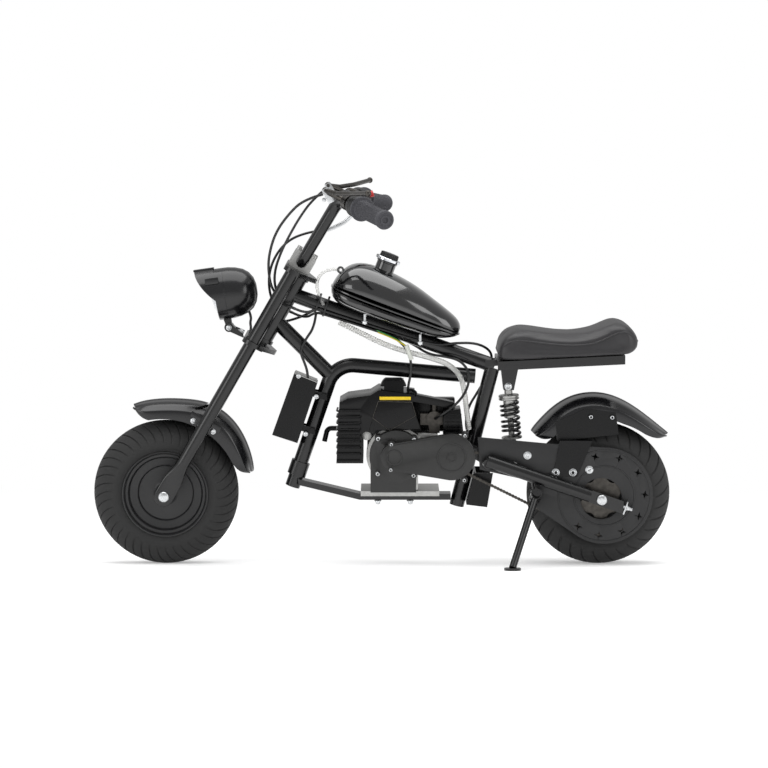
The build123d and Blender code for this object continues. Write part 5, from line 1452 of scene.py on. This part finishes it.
def fork_leg(side):
    """A fork tube that flattens smoothly into the paddle round the axle."""
    rings = []
    for along, wide, thick in FORK_STATIONS:
        power = 0.55 if thick < 6 else 1.0
        ring = []
        for index in range(FORK_SIDES):
            angle = math.tau * index / FORK_SIDES
            c, s = math.cos(angle), math.sin(angle)
            y = side * FORK_Y + thick * math.copysign(abs(s) ** power, s)
            ring.append(Vector(steer_point(FORK_AHEAD + wide * c, y, along - FORK_DROP)))
        rings.append(ring)
    return smoothed(skin(rings), 50)


SPRING_POINTS = 16


def spring_wire(start, end, radius, wire, turns):
    """A round wire spring between two points, its end coils closed up."""
    start, end = Vector(start), Vector(end)
    way = (end - start).normalized()
    side = Vector((0.0, 1.0, 0.0))
    across = way.cross(side).normalized()
    length = (end - start).length
    points = []
    count = int(turns * SPRING_POINTS)
    for index in range(count + 1):
        share = index / count
        angle = math.tau * turns * share
        rise = length * (share + 0.022 * math.sin(math.tau * share * 2))
        points.append(start + way * rise + (side * math.cos(angle) + across * math.sin(angle)) * radius)
    return smoothed(tube(points, wire, sides=4, resolution=3))


SHOCK_TOP = Vector((-241.0, 0.0, 349.5))
SHOCK_BOTTOM = Vector((-251.0, 0.0, 226.0))


def shock_body():
    """Eye ends, rod, body, spring seats and the two threaded adjuster rings, from the bottom eye up."""
    way = SHOCK_TOP - SHOCK_BOTTOM
    length = way.length
    profile = [(0.0, 0.0), (8.0, 2.0), (8.0, 19.0), (18.6, 19.4), (20.0, 20.4), (20.0, 23.4), (18.8, 24.2),
               (9.0, 25.0), (6.0, 26.0), (6.0, 60.0), (9.4, 60.0), (12.0, 62.0), (12.0, 95.8), (18.8, 96.0),
               (20.0, 97.0), (20.0, 99.6), (18.6, 100.4), (18.6, 101.6), (20.0, 102.2), (20.0, 105.0),
               (18.8, 106.0), (9.6, 106.4), (8.0, 108.0), (8.0, length - 2.0), (0.0, length)]
    return smoothed(turned(profile, SHOCK_BOTTOM, steps=56, turn=facing(way)), 30)


class Suspension(bpy.types.Operator):
    """Fork legs with flattened ends, the rear shock, its spring and bolts"""

    bl_idname = "minibike.suspension"
    bl_label = "Fork and shock"

    def execute(self, context):
        legs = painted(fused(fork_leg(1), fork_leg(-1)), "gloss_black_enamel")
        handed_over(legs, "flattened_fork_legs", "fork", "frame_black", "fork_legs")
        ends = (SHOCK_TOP, SHOCK_BOTTOM)
        eyes = [softened(crossbar(end, 9.6, 9.0), 0.8) for end in ends]
        body = painted(fused(shock_body(), *eyes), "die_cast_aluminium")
        handed_over(body, "shock_body", "frame", "cast_aluminium", "shock_absorber")
        way = (SHOCK_TOP - SHOCK_BOTTOM).normalized()
        coil = spring_wire(SHOCK_BOTTOM + way * 26.8, SHOCK_BOTTOM + way * 93.2,
                           radius=17.1, wire=2.7, turns=6.5)
        painted(coil, "gloss_black_enamel")
        handed_over(coil, "shock_coil", "frame", "spring_black", "shock_spring")
        places = [(end + Vector((0, side * 14.9, 0)), (0, side, 0)) for end in ends for side in (1, -1)]
        pins = [crossbar(end, 15.0, 4.0) for end in ends]
        heads = painted(fused(bolts(places, 7.4, 4.0), *pins), "zinc_plated_steel")
        handed_over(heads, "shock_pins", "frame", "bright_steel", "shock_bolts")
        return {"FINISHED"}


GUARD_Y = 78.0
CHAIN_Y = 66.0
CHAIN_PITCH = 6.35
# centre and pitch radius
DRIVE_SPROCKET = (Vector((-129.0, CHAIN_Y, 217.0)), 13.27)
REAR_SPROCKET = (REAR_AXLE + Vector((0.0, CHAIN_Y, 0.0)), 72.8)
ARC_STEPS = 500
# half a link plate's waisted outline, from its rear end to its front
LINK_EDGE = ((-5.4, 0.0), (-4.6, 2.0), (-3.0, 2.7), (0.0, 1.7), (3.0, 2.7), (4.6, 2.0), (5.4, 0.0))
LINK_PLATE = 0.8
GUARD_CENTRE = (-424.0, GUARD_Y, 145.0)
GUARD_RINGS = (88.5, 58.0)
GUARD_BOLTS = ((-275.6, 223.5), (-394.8, 195.8))


def chain_path():
    """Points once round both sprockets."""
    small, large = DRIVE_SPROCKET, REAR_SPROCKET
    run = large[0] - small[0]
    lie = math.atan2(run.z, run.x)
    open_angle = math.acos((small[1] - large[1]) / math.hypot(run.x, run.z))
    corners = []
    for (centre, radius), first, last in ((small, lie + open_angle, lie + math.tau - open_angle),
                                          (large, lie - open_angle, lie + open_angle)):
        for index in range(ARC_STEPS + 1):
            angle = first + (last - first) * index / ARC_STEPS
            corners.append(centre + Vector((radius * math.cos(angle), 0.0, radius * math.sin(angle))))
    corners.append(corners[0])
    return corners


def chain_links():
    """Roller and plate pairs spaced along the chain's run."""
    path = chain_path()
    count = 2 * round(distances(path)[-1] / CHAIN_PITCH / 2)
    places = spread_along(path, count, count)
    roller = crossbar(Vector(), 3.4, 1.65, sides=12)
    rollers = copied(roller, [Matrix.Translation(place) for place in places])
    outline = list(LINK_EDGE) + [(x, -z) for x, z in reversed(LINK_EDGE[1:-1])]
    plates = []
    for outer, low in ((0, 1.9), (1, 2.9)):
        pair = fused(slab(outline, low, low + LINK_PLATE), slab(outline, -low - LINK_PLATE, -low))
        spots = []
        for index in range(outer, count, 2):
            a, b = places[index], places[(index + 1) % count]
            turn = Matrix.Rotation(-math.atan2(b.z - a.z, b.x - a.x), 4, "Y")
            spots.append(Matrix.Translation((a + b) / 2) @ turn)
        plates.append(copied(pair, spots))
    return smoothed(fused(rollers, *plates), 30)


class Drive(bpy.types.Operator):
    """The chain, its guard and the guard's bolts and rings"""

    bl_idname = "minibike.drive"
    bl_label = "Chain and guard"

    def execute(self, context):
        chain = painted(chain_links(), "oiled_steel")
        handed_over(chain, "roller_chain", "frame", "chain_steel", "drive_chain")
        trim = []
        for radius in GUARD_RINGS:
            ring = [(radius - 1.8, -0.3), (radius - 1.1, 0.9), (radius, 1.3), (radius + 1.1, 0.9),
                    (radius + 1.8, -0.3)]
            trim.append(turned(ring, GUARD_CENTRE, steps=96))
        trim = painted(smoothed(fused(*trim)), "grained_nylon")
        heads = bolts([((x, GUARD_Y - 0.2, z), LEFT) for x, z in GUARD_BOLTS], radius=7.8, height=3.6)
        painted(heads, "zinc_plated_steel")
        dressed("chain_guard", "drive_guard", "grained_nylon", "black_plastic", 0.9, trim, heads)
        return {"FINISHED"}


# Engine

# face that each bolt stands on, and its head radius
COVER_BOLTS = (((11, 76, 255), 5.2), ((12, 76, 187), 5.2), ((-58, 76, 253), 5.2), ((-57, 76, 184), 5.2),
               ((-14, 98, 247), 4.6), ((-13, 98, 198), 4.6), ((-155, 98, 264), 4.6), ((-154, 98, 178), 4.6))
# the shroud's raised panel, in x and z, and the strip across its top
PANEL = ((11.0, 326.0), (-53.5, 326.0), (-55.0, 316.0), (-71.0, 271.0), (29.0, 268.0), (20.0, 300.0))
STRIP = ((-51.5, 328.4), (8.5, 328.4), (8.5, 334.6), (-51.5, 334.6))
# the raised boss on the shroud's top, in x and z
CREST = ((-44, 351), (8, 351), (3, 361), (-2, 366), (-34, 366), (-39, 361))
FIN_LEVELS = (224.0, 236.0, 248.0, 260.0, 272.0, 284.0, 296.0, 308.0)
# centre and radius of the rings cast on the reduction case
CASE_RINGS = (((-20, 97, 222), 14.0), ((-129.6, 97, 222), 27.0), ((-129.6, 97, 222), 8.0))
GRILLE_Y = 44.3


def ring_mark(centre, radius, height=1.2, width=1.6):
    """A raised ring cast on a face that looks left."""
    profile = [(radius - width, -0.4), (radius - width * 0.6, height), (radius + width * 0.6, height),
               (radius + width, -0.4)]
    return smoothed(turned(profile, centre, steps=64), 40)


def fin(level):
    """One curved cooling fin that wraps the shroud's front corner."""
    start, bend = Vector((44.0, 58.2, level)), Vector((84.0, 58.6, level - 1.0))
    return tube([start, start.lerp(bend, 0.5) + Vector((0, 0.4, 0)), bend, (90.5, 57.0, level - 1.5),
                 (91.0, 30.0, level - 2.0), (90.0, 4.0, level - 2.0)], 1.9, resolution=5, sides=3)


class Engine(bpy.types.Operator):
    """Engine covers with rounded edges, air grille, fins, yellow strip, cast rings and bolts"""

    bl_idname = "minibike.engine"
    bl_label = "Engine"

    def execute(self, context):
        for node, name, finish, slot, width in (
                ("engine_cover", "flywheel_cover", "painted_casting", "cast_black", 1.4),
                ("engine_crankcase", "crankcase", "die_cast_aluminium", "cast_aluminium", 1.0),
                ("recoil_starter", "pull_starter", "glossy_shroud_plastic", "black_plastic", 1.2)):
            dressed(node, name, finish, slot, width)
        grille = [block((-134.0, GRILLE_Y, 263.0 + 7.0 * n), (32.0, 1.6, 2.2)) for n in range(6)]
        grille += [block((-146.0 + 8.0 * n, GRILLE_Y, 283.0), (2.0, 1.4, 38.0)) for n in range(4)]
        # a dark block behind the carburettor: painted shade that darkens the gap there, set where an intake
        # manifold sits
        manifold_shade_block = softened(block((-96.0, -12.0, 292.0), (84.0, 26.0, 66.0)), 3.0)
        intake = painted(fused(softened(fused(*grille), 0.5), manifold_shade_block), "glossy_shroud_plastic")
        dressed("air_filter", "intake_box", "glossy_shroud_plastic", "black_plastic", 1.6, intake)

        shell = [softened(slab(PANEL, 57.0, 60.2), 1.4, 3)]
        shell += [fin(level) for level in FIN_LEVELS]
        shell.append(softened(slab(CREST, 2.0, 30.0), 2.0))
        knob = [(0.0, 0.0), (9.0, 0.0), (10.0, 3.0), (8.6, 8.0), (4.0, 10.0), (0.0, 10.4)]
        shell.append(smoothed(turned(knob, (-53.0, 40.0, 337.0), steps=32, turn=facing((-0.4, 0.3, 0.86)))))
        shell = painted(fused(*shell), "glossy_shroud_plastic")
        # a thin metal tube round the panel's outline: a painted highlight along its bevelled edge
        edge = [(x, 60.4, z) for x, z in PANEL]
        edge_highlight = painted(smoothed(tube(edge + edge[:1], 0.8, order=2, resolution=1)), "oiled_steel")
        strip = painted(softened(slab(STRIP, 57.4, 59.2), 0.3), "yellow_vinyl_strip")
        dressed("engine_shroud", "cooling_shroud", "glossy_shroud_plastic", "black_plastic", 1.4,
                shell, edge_highlight, strip)

        marks = painted(fused(*(ring_mark(*ring) for ring in CASE_RINGS)), "painted_casting")
        heads = [bolts([((x, y - 3.0, z), LEFT)], radius, height=4.4) for (x, y, z), radius in COVER_BOLTS]
        heads = painted(fused(*heads), "zinc_plated_steel")
        dressed("reduction_case", "gear_case", "painted_casting", "cast_black", 1.4, marks, heads)
        return {"FINISHED"}


# Fasteners and small frame fittings

RAIL_NUTS = ((12.0, 20.0, 126.5), (-51.0, 20.0, 126.5))
BOX_BOLTS = ((165.3, 27.5, 371.0), (131.0, 27.5, 331.0), (152.0, 27.5, 258.0))
# point and head radius
FENDER_BOLTS = (((-398.0, 62.6, 296.0), 5.6), ((-439.0, 62.6, 295.0), 5.6),
                ((-330.0, 80.6, 191.0), 7.6), ((-363.0, 80.6, 191.0), 7.6))
PAN_BOLTS = ((37.0, 30.0, 478.0), (-70.0, 30.0, 438.0))
# x and z of the front fender's bolts in its tabs
TAB_BOLTS = ((368.0, 287.0), (330.0, 266.0))


class Fittings(bpy.types.Operator):
    """Bolts, nuts, the chain adjuster and the pale strip on the control box's top"""

    bl_idname = "minibike.fittings"
    bl_label = "Bolts and fittings"

    def execute(self, context):
        heads = [bolts([(point, LEFT)], radius, 4.0) for point, radius in FENDER_BOLTS]
        heads.append(nuts([(point, DOWN) for point in RAIL_NUTS], 5.4, 5.0))
        heads.append(bolts([(point, LEFT) for point in BOX_BOLTS], 4.6, 3.0))
        for point in PAN_BOLTS:
            heads.append(bar(point, Vector(point) + Vector((0, 0, 14.0)), 3.0))
            heads.append(nuts([(point, DOWN)], 5.0, 4.0))
        # the adjuster behind the axle: end plate, stud and nuts
        stud = REAR_AXLE + Vector((0.0, 91.0, 0.0))
        way = Vector((-1.0, 0.0, -0.34)).normalized()
        heads.append(bar(stud + way * 12.0, stud + way * 62.0, 3.0))
        plate = block(stud + way * 48.0, (2.6, 16.0, 26.0), (0.0, math.radians(-19), 0.0))
        heads.append(softened(plate, 0.5))
        heads.append(nuts([(stud + way * 50.0, way)], 5.4, 4.6))
        heads = painted(fused(*heads), "zinc_plated_steel")
        handed_over(heads, "frame_fasteners", "frame", "bright_steel")
        # a thin pale aluminium plate laid on the control box's top, for the pale band along its top edge
        strip = softened(block((151.5, 0.0, 367.5), (46.0, 55.0, 1.6), (0.0, math.radians(-21.8), 0.0)), 0.5)
        handed_over(painted(strip, "die_cast_aluminium"), "control_box_strip", "frame", "cast_aluminium")
        fork_heads = []
        for x, z in TAB_BOLTS:
            fork_heads += [((x, side * 51.0, z), (0, side, 0)) for side in (1, -1)]
        fork_heads += [((300, side * 15.8, 464), (0, side, 0)) for side in (1, -1)]
        arm = softened(bar((289.0, 0.0, 459.5), (272.0, 0.0, 452.0), 6.0), 1.0)
        fork_heads = painted(fused(bolts(fork_heads, 5.6, 3.4), arm), "zinc_plated_steel")
        handed_over(fork_heads, "fork_fasteners", "fork", "bright_steel")
        return {"FINISHED"}


class BikeSizes(bpy.types.PropertyGroup):
    """Sizes that change the look without changing the frame."""

    front_tyre_radius: bpy.props.FloatProperty(
        name="Front tyre radius", description="From the axle to the crown", default=FRONT_AXLE.z * MM,
        unit="LENGTH")
    rear_tyre_radius: bpy.props.FloatProperty(
        name="Rear tyre radius", description="From the axle to the crown", default=REAR_AXLE.z * MM,
        unit="LENGTH")
    front_sipes: bpy.props.IntProperty(
        name="Front sipes", description="Grooves round the front tyre", default=42, min=12)
    rear_sipes: bpy.props.IntProperty(
        name="Rear sipes", description="Grooves round the rear tyre", default=30, min=12)


class StageSettings(bpy.types.PropertyGroup):
    """Where the camera stands and how the bike is lit."""

    camera_distance: bpy.props.FloatProperty(
        name="Camera distance", description="From the bike's middle to the camera", default=5.1,
        unit="LENGTH")
    camera_elevation: bpy.props.FloatProperty(
        name="Camera elevation", description="Angle above the level", default=math.radians(0.8),
        subtype="ANGLE")
    lens: bpy.props.FloatProperty(
        name="Lens", description="Focal length for a 36 mm wide sensor, in millimetres", default=122.9)
    aim_height: bpy.props.FloatProperty(
        name="Aim height", description="Height of the point that the camera looks at", default=0.3504,
        unit="LENGTH")
    key_power: bpy.props.FloatProperty(
        name="Overhead power", description="Power of the overhead soft box, in watts", default=60.0)
    fill_power: bpy.props.FloatProperty(
        name="Side power", description="Power of the two side soft boxes, in watts", default=22.0)


def soft_box(name, place, aim, size, power):
    """A rectangular lamp that looks at a point."""
    clear()
    bpy.ops.object.light_add(type="AREA", location=place)
    lamp = bpy.context.object
    lamp.name = name
    lamp.data.shape = "RECTANGLE"
    lamp.data.size, lamp.data.size_y = size
    lamp.data.energy = power
    lamp.rotation_euler = (Vector(aim) - Vector(place)).to_track_quat("-Z", "Y").to_euler()
    return lamp


# how much light of its own the paper shows to the camera, so that it reads as white
PAPER_LIFT = 0.3
# distances from the middle over which the paper fades to plain white, in metres
FADE_START, FADE_END = 1.2, 3.0
SENSOR_WIDTH = 36.0
FLOOR_SIZE = 60.0
# height of the bike's middle above the ground
MIDDLE_HEIGHT = 352.0


def studio_floor_finish():
    """Seamless pale paper: matt, and plain white to the camera except where the bike shades it."""
    material, tree, where = blank("studio_paper")
    tone = add(tree, "ShaderNodeTexNoise", {"Scale": per(900.0)}, {"Vector": where})
    shade = add(tree, "ShaderNodeMix", {"A": linear("#F0F0F0"), "B": linear("#F6F6F6")},
                {"Factor": tone.outputs["Fac"]}, data_type="RGBA")
    paper = add(tree, "ShaderNodeBsdfDiffuse", links={"Color": shade.outputs["Result"]})
    path = add(tree, "ShaderNodeLightPath")
    seen = add(tree, "ShaderNodeMath", links={0: path.outputs["Is Camera Ray"],
                                              1: path.outputs["Is Glossy Ray"]}, operation="MAXIMUM")
    lift = add(tree, "ShaderNodeMath", {1: PAPER_LIFT}, {0: seen.outputs[0]}, operation="MULTIPLY")
    glow = add(tree, "ShaderNodeEmission", {"Color": linear("#FFFFFF")}, {"Strength": lift.outputs[0]})
    lit = add(tree, "ShaderNodeAddShader", links={0: paper.outputs[0], 1: glow.outputs[0]})
    far = add(tree, "ShaderNodeVectorMath", links={0: where}, operation="LENGTH")
    fade = add(tree, "ShaderNodeMapRange", {"From Min": FADE_START, "From Max": FADE_END},
               {"Value": far.outputs["Value"]})
    white = add(tree, "ShaderNodeEmission", {"Color": linear("#FFFFFF")})
    close(tree, add(tree, "ShaderNodeMixShader", links={0: fade.outputs["Result"], 1: lit.outputs[0],
                                                        2: white.outputs[0]}))
    return material


def studio_air():
    """Even white light from all round, brighter where it is looked at than where it lights."""
    world = bpy.data.worlds.new("studio")
    world.use_nodes = True
    tree = world.node_tree
    tree.nodes.clear()
    path = add(tree, "ShaderNodeLightPath")
    seen = add(tree, "ShaderNodeMath", links={0: path.outputs["Is Camera Ray"],
                                              1: path.outputs["Is Transmission Ray"]}, operation="MAXIMUM")
    strength = add(tree, "ShaderNodeMapRange", {"To Min": 0.55, "To Max": 1.0}, {"Value": seen.outputs[0]})
    sky = add(tree, "ShaderNodeBackground", {"Color": linear("#FFFFFF")},
              {"Strength": strength.outputs["Result"]})
    add(tree, "ShaderNodeOutputWorld", links={"Surface": sky.outputs[0]})
    return world


class Stage(bpy.types.Operator):
    """Builds the pale floor, the soft light and the camera"""

    bl_idname = "minibike.stage"
    bl_label = "Stage"

    def execute(self, context):
        scene = context.scene
        settings = scene.minibike_stage
        clear()
        bpy.ops.mesh.primitive_plane_add(size=FLOOR_SIZE, location=(0.0, 0.0, 0.0))
        floor = bpy.context.object
        floor.name = "studio_floor"
        floor.data.materials.append(studio_floor_finish())
        middle = PARKED @ Vector((0.0, 0.0, MIDDLE_HEIGHT))
        aim = Vector((PARKED.translation.x, middle.y, settings.aim_height))
        soft_box("overhead_box", (0.0, 0.2, 2.6), aim, (3.0, 2.4), settings.key_power)
        soft_box("front_box", (2.6, 1.8, 1.2), aim, (1.4, 1.8), settings.fill_power)
        soft_box("rear_box", (-2.6, 1.8, 1.2), aim, (1.4, 1.8), settings.fill_power)
        scene.world = studio_air()
        bearing = Vector((0.0, math.cos(settings.camera_elevation), math.sin(settings.camera_elevation)))
        place = aim + bearing * settings.camera_distance
        bpy.ops.object.camera_add(location=place, rotation=(-bearing).to_track_quat("-Z", "Y").to_euler())
        camera = bpy.context.object
        camera.name = "photo_camera"
        camera.data.lens = settings.lens
        camera.data.sensor_width = SENSOR_WIDTH
        scene.camera = camera
        scene.view_settings.view_transform = "Standard"
        return {"FINISHED"}


OPERATORS = (Stage, FrameFinishes, Tyres, Rims, Seat, FuelTank, Fenders, Headlight, Cables, Bars,
             Suspension, Drive, Engine, Fittings)
GROUPS = {"minibike_stage": StageSettings, "minibike_sizes": BikeSizes, "minibike_colours": BikeColours}


class MiniBikePanel(bpy.types.Panel):
    """Lists the steps that build the bike, then its settings."""

    bl_idname = "VIEW3D_PT_minibike"
    bl_label = "Mini bike"
    bl_space_type = "VIEW_3D"
    bl_region_type = "UI"
    bl_category = "Mini Bike"

    def draw(self, context):
        for operator in OPERATORS:
            self.layout.operator(operator.bl_idname)
        for name, group in GROUPS.items():
            for setting in group.__annotations__:
                self.layout.prop(getattr(context.scene, name), setting)


def register():
    for name, group in GROUPS.items():
        bpy.utils.register_class(group)
        setattr(bpy.types.Scene, name, bpy.props.PointerProperty(type=group))
    for operator in OPERATORS:
        bpy.utils.register_class(operator)
    bpy.utils.register_class(MiniBikePanel)


def unregister():
    bpy.utils.unregister_class(MiniBikePanel)
    for operator in reversed(OPERATORS):
        bpy.utils.unregister_class(operator)
    for name, group in reversed(GROUPS.items()):
        delattr(bpy.types.Scene, name)
        bpy.utils.unregister_class(group)


def main():
    register()
    for operator in OPERATORS:
        group, step = operator.bl_idname.split(".")
        getattr(getattr(bpy.ops, group), step)()


if __name__ == "__main__":
    main()
